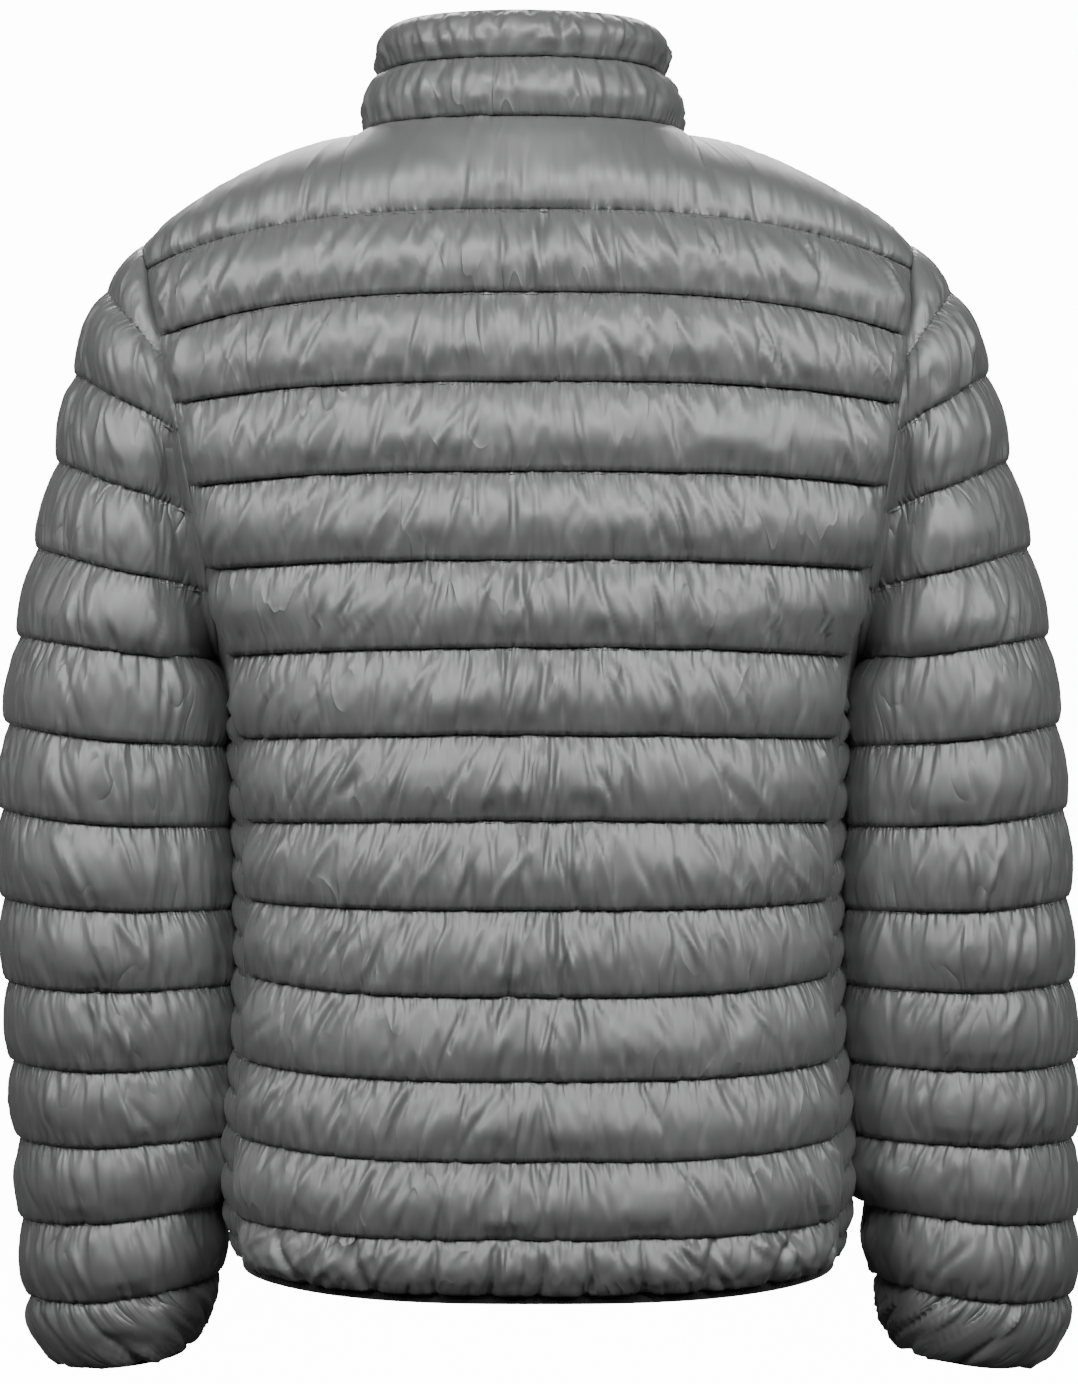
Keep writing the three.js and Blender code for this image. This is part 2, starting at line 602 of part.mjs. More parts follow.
// Collar: a standing strip of two baffles, sewn to the neck seam
const neckAngles = [];
for (let k = -2 * NECK_COLUMNS; k <= 2 * NECK_COLUMNS; k += 0.5) {
  const behind = Math.min(Math.abs(k), NECK_COLUMNS) / NECK_COLUMNS;
  const before = Math.max(Math.abs(k) - NECK_COLUMNS, 0) / NECK_COLUMNS;
  neckAngles.push(Math.sign(k) * mix(behind * (Math.PI / 2), FRONT_ANGLE, before));
}
{
  const lines = Array.from({ length: COLLAR_TOP * STEPS + 1 }, (_, i) => i / STEPS);
  const front = (k) => Math.min(k, neckAngles.length - 1 - k);
  const grid = lines.map((line) => neckAngles.map((angle, k) => {
    if (line === 0 && k % 2 === 1) {
      return collarPoint(neckAngles[k - 1], 0).lerp(collarPoint(neckAngles[k + 1], 0), 0.5);
    }
    return collarPoint(angle, line);
  }));
  const rows = quiltedPanel({
    grid,
    crown: (i, k) => CROWN * puff(lines[i] % 1) * Math.min(1, front(k) / FRONT_FADE),
    gaps: (i) => (i === 0 ? [DOWN] : []),
    plain: (i) => i % STEPS === 0,
    outward: (point) => V(point.x, point.y - COLLAR_LINES[0].y, 0),
  });
  addPiece("collar", wallGeometry(place(rows, 1)), shell());
}

// A band under an edge: a strip hanging from the points of the edge, set in from the outside.
function bandRows(points, top, ring) {
  const count = points.length;
  const ways = points.map((_, k) => {
    const before = ring ? (k + count - 1) % count : Math.max(k - 1, 0);
    const after = ring ? (k + 1) % count : Math.min(k + 1, count - 1);
    const along = points[after].clone().sub(points[before]);
    return V(along.y, -along.x, 0).normalize();
  });
  const middle = points.reduce((sum, point) => sum.add(point), V(0, 0, 0)).divideScalar(count);
  const turned = ways[0].dot(points[0].clone().sub(middle)) < 0 ? -1 : 1;
  const row = (rise) => {
    const at = (inset) => points.map((point, k) => point.clone()
      .addScaledVector(ways[k], -turned * inset)
      .add(V(0, 0, rise)));
    return { outer: at(BINDING.tuck), inner: at(BINDING.tuck + BINDING.thickness) };
  };
  return [row(top - HALF_SEAM), row(top - HALF_SEAM - BINDING.height)];
}

// Hem binding, from one front edge round the back to the other
{
  const backEdge = Array.from({ length: 2 * BODY_COLUMNS + 1 }, (_, k) => {
    const point = bodyPoint(HEM, Math.abs(k - BODY_COLUMNS), 1);
    point.x *= Math.sign(BODY_COLUMNS - k);
    return point;
  });
  const half = (sign) => {
    const points = [];
    for (let k = 0; k < BODY_COLUMNS; k += 1) {
      points.push(bodyPoint(HEM, k, -1));
    }
    for (let k = SIDE_COLUMNS; k > 0; k -= 1) {
      points.push(sidePoint(HEM, k));
    }
    return points.map((point) => V(sign * point.x, point.y, point.z));
  };
  const rows = bandRows([...half(1), ...backEdge, ...half(-1).reverse()], 0, false);
  addPiece("hem_binding", wallGeometry(place(rows, 1)), elastic());
}

// Cuff bindings
for (const [side, sign] of SIDES) {
  const edge = sleeveColumns.slice(0, -1).map((column) => sleevePoint(CUFF, column, SWING[side]));
  const rows = place(bandRows(edge, CUFF_RISE, true), sign);
  addPiece(`cuff_binding_${side}`, wallGeometry(rows, true), elastic());
}

// The path of the zip, up the front edges from the hem to just under the top of the collar.
// Each stop has its point and the way straight out of the cloth.
function zipPath() {
  const stops = [];
  for (let i = HEM * STEPS; i > 0; i -= 1) {
    if (bodyPlain(i)) {
      stops.push(bodyPoint(i / STEPS, 0, -1));
    }
  }
  for (let i = 0; i <= COLLAR_TOP; i += 1) {
    stops.push(collarPoint(FRONT_ANGLE, i));
  }
  const end = stops[stops.length - 1];
  const under = stops[stops.length - 2];
  end.addScaledVector(under.clone().sub(end).normalize(), ZIP.topLeft);
  return stops.map((point, i) => {
    const before = stops[Math.max(i - 1, 0)];
    const after = stops[Math.min(i + 1, stops.length - 1)];
    const up = after.clone().sub(before).setX(0).normalize();
    return { point: V(0, point.y, point.z), up, out: V(0, -up.z, up.y) };
  });
}
const zipStops = zipPath();

// Zip tapes, each with its half of the chain
for (const [side, sign] of SIDES) {
  const front = -WALL - ZIP.behind;
  const section = [
    [ZIP.parting, front - ZIP.tape],
    [ZIP.parting, front - ZIP.tape + ZIP.chain],
    [ZIP.chainHalf, front - ZIP.tape + ZIP.chain],
    [ZIP.chainHalf, front],
    [FRONT_EDGE, front],
    [ZIP.tapeWidth, front - ZIP.slope],
    [ZIP.tapeWidth, front - ZIP.slope - ZIP.tape],
    [FRONT_EDGE, front - ZIP.tape],
  ];
  const positions = [];
  const faces = [];
  for (const stop of zipStops) {
    for (const [x, out] of section) {
      const point = stop.point.clone().addScaledVector(stop.out, out);
      positions.push(sign * x + leanAt(point.z), point.y, point.z);
    }
  }
  const count = section.length;
  for (let i = 0; i + 1 < zipStops.length; i += 1) {
    for (let k = 0; k < count; k += 1) {
      const a = i * count + k;
      const b = i * count + ((k + 1) % count);
      faces.push(a, b, b + count, a, b + count, a + count);
    }
  }
  const outline = section.map(([x, out]) => new THREE.Vector2(x, out));
  for (const [a, b, c] of THREE.ShapeUtils.triangulateShape(outline, [])) {
    const top = (zipStops.length - 1) * count;
    faces.push(a, b, c, top + a, top + c, top + b);
  }
  addPiece(`zip_${side}`, closedGeometry(positions, faces), tape());
}

// Hard pieces are drawn in the slot's own directions and set at the top of the chain.
const wasm = await Module();
wasm.setup();

function solidOf(geometry) {
  const bare = geometry.clone();
  bare.deleteAttribute("normal");
  bare.deleteAttribute("uv");
  const merged = mergeVertices(bare);
  const vertProperties = new Float32Array(merged.attributes.position.array);
  const triVerts = new Uint32Array(merged.index.array);
  return new wasm.Manifold(new wasm.Mesh({ numProp: 3, vertProperties, triVerts }));
}

function geometryOf(solid) {
  const { vertProperties, triVerts } = solid.getMesh();
  const geometry = new THREE.BufferGeometry();
  geometry.setAttribute("position", new THREE.Float32BufferAttribute(vertProperties, 3));
  geometry.setIndex(Array.from(triVerts));
  geometry.computeVertexNormals();
  return geometry;
}

// A side view, out and up in millimetres, extruded across the slot and set in its middle.
function acrossSlot(points, width, holes = []) {
  const shape = new THREE.Shape(points.map(([out, up]) => new THREE.Vector2(out, up)));
  for (const hole of holes) {
    shape.holes.push(new THREE.Path(hole.map(([out, up]) => new THREE.Vector2(out, up))));
  }
  const geometry = new THREE.ExtrudeGeometry(shape, { depth: width, bevelEnabled: false });
  geometry.translate(0, 0, -width / 2);
  geometry.applyMatrix4(new THREE.Matrix4().makeBasis(V(0, -1, 0), V(0, 0, 1), V(-1, 0, 0)));
  return geometry;
}

// Slider at the top of the chain: two plates joined by a bridge above it, and the bail
const zipTop = zipStops[zipStops.length - 1];
const chainFront = -WALL - ZIP.behind - ZIP.tape + ZIP.chain;
const chainBack = -WALL - ZIP.behind - ZIP.tape;
const plateFront = chainFront + SLIDER.clearance + SLIDER.plate;
const plateBack = chainBack - SLIDER.clearance - SLIDER.plate;
const bridgeTop = SLIDER.clearance + SLIDER.bridge;
{
  const plates = acrossSlot([
    [plateBack, bridgeTop],
    [plateBack, bridgeTop - SLIDER.length],
    [plateBack + SLIDER.plate, bridgeTop - SLIDER.length],
    [plateBack + SLIDER.plate, SLIDER.clearance],
    [plateFront - SLIDER.plate, SLIDER.clearance],
    [plateFront - SLIDER.plate, bridgeTop - SLIDER.length],
    [plateFront, bridgeTop - SLIDER.length],
    [plateFront, bridgeTop],
  ], SLIDER.width);
  const top = bridgeTop - BAIL.below;
  const foot = plateFront - SLIDER.plate / 2;
  const bail = acrossSlot([
    [foot, top],
    [foot, top - BAIL.length],
    [plateFront + BAIL.rise, top - BAIL.length],
    [plateFront + BAIL.rise, top],
  ], BAIL.width, [[
    [plateFront, top - BAIL.bar],
    [plateFront, top - BAIL.length + BAIL.bar],
    [plateFront + BAIL.rise - BAIL.bar, top - BAIL.length + BAIL.bar],
    [plateFront + BAIL.rise - BAIL.bar, top - BAIL.bar],
  ]]);
  const geometry = geometryOf(solidOf(plates).add(solidOf(bail)));
  geometry.translate(leanAt(zipTop.point.z), zipTop.point.y, zipTop.point.z);
  addPiece("zip_slider", geometry, metal());
}

// Pull tab, hanging from the bail by the bar above its hole; it swings about that bar
{
  const barUp = bridgeTop - BAIL.below - BAIL.length + BAIL.bar + PULL.seat + PULL.rim / 2;
  const barOut = plateFront + (BAIL.rise - BAIL.bar) / 2;
  const half = PULL.width / 2;
  const outline = new THREE.Shape();
  outline.moveTo(-half * PULL.taper, PULL.rim / 2);
  outline.lineTo(half * PULL.taper, PULL.rim / 2);
  outline.lineTo(half, -PULL.holeLength);
  outline.lineTo(half, PULL.rim / 2 - PULL.length + half);
  outline.absarc(0, PULL.rim / 2 - PULL.length + half, half, 0, -Math.PI, true);
  const hole = new THREE.Path();
  hole.moveTo(-PULL.holeWidth / 2, -PULL.rim / 2);
  hole.lineTo(-PULL.holeWidth / 2, -PULL.rim / 2 - PULL.holeLength);
  hole.lineTo(PULL.holeWidth / 2, -PULL.rim / 2 - PULL.holeLength);
  hole.lineTo(PULL.holeWidth / 2, -PULL.rim / 2);
  outline.holes.push(hole);
  const geometry = new THREE.ExtrudeGeometry(outline, {
    depth: PULL.thickness,
    bevelEnabled: false,
    curveSegments: 8,
  });
  geometry.translate(0, 0, -PULL.thickness / 2);
  geometry.rotateX(Math.PI / 2);
  geometry.translate(leanAt(zipTop.point.z), zipTop.point.y - barOut, zipTop.point.z + barUp);
  addPiece("zip_pull", geometry, metal());
}

export default jacket;
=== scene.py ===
"""A quilted puffer jacket with a stand collar, zipped up and filled out as if worn."""

import math

import bmesh
import bpy
import numpy as np
from mathutils import Matrix, Vector


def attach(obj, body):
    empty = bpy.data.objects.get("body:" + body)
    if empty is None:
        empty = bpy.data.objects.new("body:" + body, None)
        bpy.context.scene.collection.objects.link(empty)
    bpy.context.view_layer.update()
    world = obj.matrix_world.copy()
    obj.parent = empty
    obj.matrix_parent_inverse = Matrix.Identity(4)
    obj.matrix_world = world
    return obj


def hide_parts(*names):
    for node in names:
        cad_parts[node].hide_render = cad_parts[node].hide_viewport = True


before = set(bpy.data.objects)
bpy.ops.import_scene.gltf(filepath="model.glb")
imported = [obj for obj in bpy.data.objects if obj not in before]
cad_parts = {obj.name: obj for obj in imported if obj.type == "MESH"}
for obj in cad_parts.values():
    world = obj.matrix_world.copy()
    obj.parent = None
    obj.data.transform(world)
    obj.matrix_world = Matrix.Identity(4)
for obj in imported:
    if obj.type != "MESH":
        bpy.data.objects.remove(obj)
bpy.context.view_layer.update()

# Camera and studio
# The jacket is seen square from the back, from 2.5 m away, against a white studio sweep.
# One softbox hangs above it and two stand beside it, tall strips edge the sleeves, and one more
# softbox lights the front.
CAMERA_AWAY = 2.5
PHOTO_WIDTH = 1078
PHOTO_SCALE = 1600          # photograph pixels in a metre at the middle of the jacket
PHOTO_DROP = 52             # pixels from the level of the lens down to the photograph's middle
SENSOR = 36                 # width of the camera's sensor in millimetres

camera_data = bpy.data.cameras.new("camera")
camera_data.sensor_fit = "HORIZONTAL"
camera_data.sensor_width = SENSOR
camera_data.lens = SENSOR * CAMERA_AWAY * PHOTO_SCALE / PHOTO_WIDTH
camera_data.shift_y = -PHOTO_DROP / PHOTO_WIDTH
camera = bpy.data.objects.new("camera", camera_data)
camera.location = (-0.0105, CAMERA_AWAY, -0.32)
camera.rotation_euler = (math.pi / 2, 0, math.pi)
bpy.context.collection.objects.link(camera)
bpy.context.scene.camera = camera


class Sock:
    """A socket of a material, with arithmetic that adds Math nodes."""

    def __init__(self, made, socket):
        self.made = made
        self.socket = socket

    def _maths(self, operation, first, second=None):
        values = [first] if second is None else [first, second]
        return self.made.node("ShaderNodeMath", {"operation": operation}, dict(enumerate(values)))

    def __add__(self, other):
        return self._maths("ADD", self, other)

    def __radd__(self, other):
        return self._maths("ADD", other, self)

    def __sub__(self, other):
        return self._maths("SUBTRACT", self, other)

    def __rsub__(self, other):
        return self._maths("SUBTRACT", other, self)

    def __mul__(self, other):
        return self._maths("MULTIPLY", self, other)

    def __rmul__(self, other):
        return self._maths("MULTIPLY", other, self)

    def __abs__(self):
        return self._maths("ABSOLUTE", self)

    def function(self, operation, other=None):
        return self._maths(operation, self, other)


class Material:
    """A material with one shader, whose nodes all come from the method node."""

    def __init__(self, name, **constants):
        self.material = bpy.data.materials.new(name)
        self.material.use_nodes = True
        self.tree = self.material.node_tree
        self.shader = self.tree.nodes["Principled BSDF"]
        for socket, value in constants.items():
            self.shader.inputs[socket.replace("_", " ")].default_value = value

    def node(self, kind, settings, inputs, output=0):
        made = self.tree.nodes.new(kind)
        for name, value in settings.items():
            setattr(made, name, value)
        for name, value in inputs.items():
            if isinstance(value, Sock):
                self.tree.links.new(value.socket, made.inputs[name])
            else:
                made.inputs[name].default_value = value
        return Sock(self, made.outputs[output])

    def feed(self, name, value):
        self.tree.links.new(value.socket, self.shader.inputs[name])

    def colours(self, share, first, second):
        """Two colours mixed by a share that changes over the surface."""
        settings = {"data_type": "RGBA", "clamp_factor": True}
        inputs = {0: share, 6: first, 7: second}
        return self.node("ShaderNodeMix", settings, inputs, output=2)

    def relief(self, height):
        """Bumps whose height is given in metres."""
        inputs = {"Strength": 1.0, "Distance": 1.0, "Height": height}
        self.feed("Normal", self.node("ShaderNodeBump", {}, inputs))


def finished_object(name, bm, material):
    """An object of a finished mesh, at the origin."""
    mesh = bpy.data.meshes.new(name)
    bm.to_mesh(mesh)
    bm.free()
    mesh.materials.append(material)
    made = bpy.data.objects.new(name, mesh)
    bpy.context.collection.objects.link(made)
    return made


def mix(a, b, share):
    return a + (b - a) * share


FLOOR = -0.9                # just under the cuffs
SWEEP_BACK = -9.0           # the wall stands far behind a camera that looks at the front
SWEEP_FRONT = 9.0
SWEEP_HALF_WIDTH = 12.0
SWEEP_FLAT = 0.45           # share of the paper that lies on the floor
SWEEP_CURVED = 0.25         # share that curves up from it
SWEEP_WALL = 0.3            # share that stands upright
SWEEP_RADIUS = 1.2
WALL_HEIGHT = 4.5
WHITE = (1, 1, 1, 1)
sweep = bmesh.new()
bmesh.ops.create_grid(sweep, x_segments=1, y_segments=40, size=1)
for vert in sweep.verts:
    along = (vert.co.y + 1) / 2
    turn = min(max((along - SWEEP_FLAT) / SWEEP_CURVED, 0), 1) * math.pi / 2
    upright = max(along - SWEEP_FLAT - SWEEP_CURVED, 0) / SWEEP_WALL
    reach = mix(SWEEP_FRONT, SWEEP_BACK, min(along / SWEEP_FLAT, 1)) - SWEEP_RADIUS * math.sin(turn)
    rise = FLOOR + SWEEP_RADIUS * (1 - math.cos(turn)) + WALL_HEIGHT * upright
    vert.co = (vert.co.x * SWEEP_HALF_WIDTH, reach, rise)
PAPER_GLOW = 14.0           # bright enough to render pure white, and it lights nothing else
paper = Material("white_paper", Roughness=0.9)
paper.shader.inputs["Base Color"].default_value = (0.8, 0.8, 0.8, 1)
paper.shader.inputs["Emission Color"].default_value = WHITE
paper.shader.inputs["Emission Strength"].default_value = PAPER_GLOW
studio_sweep = finished_object("studio_sweep", sweep, paper.material)
studio_sweep.visible_diffuse = False
studio_sweep.visible_glossy = False

AIR_LIGHT = 0.04            # a faint light from all round, so that no shadow is black
world = bpy.data.worlds.new("studio_air")
world.use_nodes = True
world.node_tree.nodes["Background"].inputs["Color"].default_value = WHITE
world.node_tree.nodes["Background"].inputs["Strength"].default_value = AIR_LIGHT
bpy.context.scene.world = world

AIM = Vector((0, 0, -0.22))
LIGHT_SPREAD = math.radians(60)
LIGHTS = [                  # name, place, width and height, watts
    ("softbox_above", (0.0, 2.5, 1.6), (1.3, 0.7), 7.5),
    ("softbox_left", (1.8, 2.3, 1.0), (1.0, 1.2), 6),
    ("softbox_right", (-1.8, 2.3, 1.0), (1.0, 1.2), 6),
    ("strip_left", (2.0, 0.1, 0.3), (0.5, 2.0), 0.8),
    ("strip_right", (-2.0, 0.1, 0.3), (0.5, 2.0), 0.8),
    ("softbox_front", (0.0, -2.3, 1.6), (2.0, 1.0), 12),
]
for name, place, size, watts in LIGHTS:
    light = bpy.data.lights.new(name, "AREA")
    light.shape = "RECTANGLE"
    light.size, light.size_y = size
    light.energy = watts
    light.spread = LIGHT_SPREAD
    lamp = bpy.data.objects.new(name, light)
    lamp.location = place
    lamp.rotation_euler = (AIM - lamp.location).to_track_quat("-Z", "Y").to_euler()
    bpy.context.collection.objects.link(lamp)

# Back panel
# One piece of satin-woven nylon from the neck seam to the hem, over loose filling and a plain
# inside. Level lines of stitching divide it into 14 baffles, which puff up between them.
MM = 0.001
WALL = 3.0                  # cloth and flattened filling along a stitched line, in millimetres
CROWN = 9.5                 # how far a full baffle rises above the line of its seams
PITCH = 50.0                # about how far it is from one stitched line to the next
LEAN = (-215, 10, 10)       # from, to and reach of the lean to one side, above the chest
NECK_DROP = 78              # how far the neck seam dips towards the front
NECK_DROP_POWER = 4
COLLAR_LINES = [            # rise, half width, half depth and middle depth of each ring
    (0, 97, 78, -12),
    (37, 86, 74, -15),
    (66, 82, 70, -18),
]
SHOULDER = (238, 0, -73)
SHOULDER_CURVE = 1.6
ARM_DEPTH = 80              # half the armhole from back to front
ARM_LOWEST = -330
ARM_POWER = 2.2
ARM_LEAN_IN = 0.175         # how much the armhole runs in towards the body on its way down
ARM_UNDER_OUT = 10
UNDERARM_HEIGHTS = (-290, -303, -318, -327, -330)
STEPS = 3                   # steps of the armhole in one baffle
SIDE_SEAM_STEP = 17
UNDERARM_STEP = 20
BODY_LINES = [              # back height and depth, end height, front height and depth, seam
    (0, 66, -73, -78, -90, 0),
    (-60, 88, -93, -100, -97, 0),
    (-111, 101, -136, -135, -107, 0),
    (-165, 108, -177, -176, -114, 0),
    (-219, 113, -227, -223, -119, 0),
    (-272, 116, -276, -273, -123, 204),
    (-324, 117, -329, -325, -125, 191),
    (-376, 117, -379, -377, -126, 184),
    (-427, 116, -430, -428, -127, 180),
    (-480, 115, -477, -479, -127, 179),
    (-532, 114, -523, -529, -126, 179),
    (-582, 114, -575, -578, -125, 181),
    (-630, 115, -621, -625, -124, 185),
    (-676, 115, -670, -671, -122, 185),
    (-709, 107, -700, -700, -114, 178),
]
HEM = len(BODY_LINES) - 1
UNDERARM_LINE = 5
SEAM_Y = 50                 # the side seams stand this far behind and before the middle
SEAM_TURN = math.radians(70)
BODY_POWER = 2.6            # how square the body is in plan
BODY_OVER = 1.03
DROOP_POWER = 3
BODY_COLUMNS = 10           # from the middle to the side, with 4 of them along the neck
NECK_COLUMNS = 4
COLUMN_SPREAD = math.radians(68)
FRONT_EDGE = 7              # from the middle to the edge of a front
FRONT_ANGLE = math.pi - math.asin(FRONT_EDGE / COLLAR_LINES[0][1])
NEAR = 0.001                # tells a row on a stitched line from the next


def smooth(low, high, value):
    """From 0 at low to 1 at high, with high above or below low."""
    share = min(max((value - low) / (high - low), 0), 1)
    return share * share * (3 - 2 * share)


def table_value(rows, column, line, first=0):
    """A column of a table at a fractional row, on a smooth curve through the rows."""
    last = len(rows) - 1
    i = min(max(int(math.floor(line)), first), last - 1)
    f = line - i
    before, start, end, after = (rows[min(max(i + k, first), last)][column] for k in (-1, 0, 1, 2))
    slope_in = (end - before) / (1 if i - 1 < first else 2)
    slope_out = (after - start) / (1 if i + 2 > last else 2)
    ff = f * f
    fff = ff * f
    return (start * (2 * fff - 3 * ff + 1) + slope_in * (fff - 2 * ff + f)
            + end * (3 * ff - 2 * fff) + slope_out * (fff - ff))


def collar_point(angle, line):
    rise, half_width, half_depth, y = (table_value(COLLAR_LINES, c, line) for c in range(4))
    drop = NECK_DROP * ((1 - math.cos(angle)) / 2) ** NECK_DROP_POWER
    return Vector((half_width * math.sin(angle), y + half_depth * math.cos(angle), rise - drop))


def shoulder_point(share):
    neck = collar_point(math.pi / 2, 0)
    return Vector((mix(neck.x, SHOULDER[0], share), mix(neck.y, SHOULDER[1], share),
                   mix(neck.z, SHOULDER[2], share ** SHOULDER_CURVE)))


def armhole_point(step, facing):
    """The armhole seam, in steps from the shoulder to the underarm."""
    middle = (SHOULDER[2] + ARM_LOWEST) / 2
    half_height = (SHOULDER[2] - ARM_LOWEST) / 2
    tabled = UNDERARM_STEP - len(UNDERARM_HEIGHTS)

    def height(whole):
        if whole > tabled:
            return UNDERARM_HEIGHTS[whole - tabled - 1]
        line = whole // STEPS
        return mix(BODY_LINES[line][2], BODY_LINES[line + 1][2], whole / STEPS - line)

    def across(z):
        return max(1 - abs((z - middle) / half_height) ** ARM_POWER, 0) ** (1 / ARM_POWER)

    step = min(max(step, 0), UNDERARM_STEP)
    whole = min(int(step + NEAR), UNDERARM_STEP - 1)
    over = step - whole
    if step > tabled:
        wide = mix(across(height(whole)), across(height(whole + 1)), over)
        z = middle - half_height * max(1 - wide ** ARM_POWER, 0) ** (1 / ARM_POWER)
    else:
        z = mix(height(whole), height(whole + 1), over)
        wide = across(z)
    x = SHOULDER[0] + ARM_LEAN_IN * (z - SHOULDER[2])
    if z < middle:
        x += ARM_UNDER_OUT * (1 - wide) ** 2
    return Vector((x, facing * ARM_DEPTH * wide, z))


def body_end(line, facing):
    """Where a level of the body ends: on the armhole, or below it on the side seam."""
    step = line * STEPS
    if step <= SIDE_SEAM_STEP + NEAR:
        return armhole_point(step, facing)
    top = armhole_point(SIDE_SEAM_STEP, facing)
    below = smooth(SIDE_SEAM_STEP / STEPS, SIDE_SEAM_STEP / STEPS + 1, line)
    return Vector((table_value(BODY_LINES, 5, line, UNDERARM_LINE),
                   mix(top.y, facing * SEAM_Y, below), table_value(BODY_LINES, 2, line)))


def body_point(line, column, facing):
    """A point of the back, facing 1, or of a front, facing -1. Column 0 is the middle."""
    if line < 1:
        if column <= NECK_COLUMNS:
            reach = 0 if facing > 0 else FRONT_ANGLE
            top = collar_point(mix(reach, math.pi / 2, column / NECK_COLUMNS), 0)
        else:
            top = shoulder_point((column - NECK_COLUMNS) / (BODY_COLUMNS - NECK_COLUMNS))
        bottom = body_point(1, column, facing)
        rounding = mix(0.25, 0.75, min(1, column / NECK_COLUMNS))
        quarter = line * math.pi / 2
        point = Vector((mix(top.x, bottom.x, line),
                        mix(top.y, bottom.y, mix(line, math.sin(quarter), rounding)),
                        mix(top.z, bottom.z, mix(line, 1 - math.cos(quarter), rounding))))
        near_end = smooth(0.9, 1, column / BODY_COLUMNS)
        return point.lerp(body_end(line, facing), near_end)
    inner = 0 if facing > 0 else FRONT_EDGE
    end = body_end(line, facing)
    share = math.sin(column / BODY_COLUMNS * COLUMN_SPREAD) / math.sin(COLUMN_SPREAD)
    x = mix(inner, end.x, share)
    middle_z, middle_y = (table_value(BODY_LINES, c, line) for c in ((0, 1) if facing > 0 else (3, 4)))

    def rounded(value):
        return (1 - (value / (BODY_OVER * end.x)) ** BODY_POWER) ** (1 / BODY_POWER)

    depth = (middle_y - end.y) / (1 - rounded(end.x))
    return Vector((x, middle_y - depth * (1 - rounded(x)),
                   mix(middle_z, end.z, (x / end.x) ** DROOP_POWER)))


def lean_at(z):
    return LEAN[2] * (smooth(LEAN[0], LEAN[1], z) - 1)


def base_grid(point, lines, columns, side):
    """Base points of a panel in millimetres, turned to its side and leaned with the rest."""
    grid = np.empty((len(lines), len(columns), 3))
    for i, line in enumerate(lines):
        for k, column in enumerate(columns):
            x, y, z = point(line, column)
            grid[i, k] = (side * x + lean_at(z), y, z)
    return grid


def grid_normals(grid, outward):
    down, across = np.gradient(grid, axis=(0, 1))
    normals = np.cross(across, down)
    normals /= np.linalg.norm(normals, axis=2, keepdims=True) + 1e-9
    middle = normals[len(grid) // 2, grid.shape[1] // 2]
    if np.dot(middle, outward) < 0:
        normals = -normals
    return normals


def arc_lengths(grid):
    """Distance along each row from the middle column."""
    steps = np.linalg.norm(np.diff(grid, axis=1), axis=2)
    along = np.concatenate([np.zeros((len(grid), 1)), np.cumsum(steps, axis=1)], axis=1)
    return along - along[:, [grid.shape[1] // 2]]


INNER_EVERY = 8             # the plain inside has one face for eight by eight of the outside


def refined(values):
    """Twice as many steps both ways, on a smooth surface through the values."""
    for axis in (0, 1):
        values = np.moveaxis(values, axis, 0)
        first = 2 * values[:1] - values[1:2]
        last = 2 * values[-1:] - values[-2:-1]
        padded = np.concatenate([first, values, last])
        middle = (9 * (padded[1:-2] + padded[2:-1]) - padded[:-3] - padded[3:]) / 16
        finer = np.empty((2 * len(values) - 1,) + values.shape[1:])
        finer[::2] = values
        finer[1::2] = middle
        values = np.moveaxis(finer, 0, axis)
    return values


def grid_faces(bm, points, outward):
    """A sheet of faces through a grid of points, facing outwards, and the cell of each vertex."""
    rows, columns = points.shape[:2]
    before = set(bm.faces)
    made = bmesh.ops.create_grid(bm, x_segments=columns - 1, y_segments=rows - 1, size=0.5)
    cells = {}
    for vert in made["verts"]:
        k = round((vert.co.x + 0.5) * (columns - 1))
        i = round((vert.co.y + 0.5) * (rows - 1))
        cells[vert] = (i, k)
    for vert, (i, k) in cells.items():
        vert.co = Vector(points[i, k]) * MM
    faces = [face for face in bm.faces if face not in before]
    centre = Vector(points[rows // 2, columns // 2]) * MM
    middle = min(faces, key=lambda face: (face.calc_center_median() - centre).length)
    middle.normal_update()
    if middle.normal.dot(Vector(outward)) < 0:
        bmesh.ops.reverse_faces(bm, faces=faces)
    return cells, faces


EXCESS = 0.035              # share by which the sheet grows both ways as it swells
SWELLING_FRAMES = 20


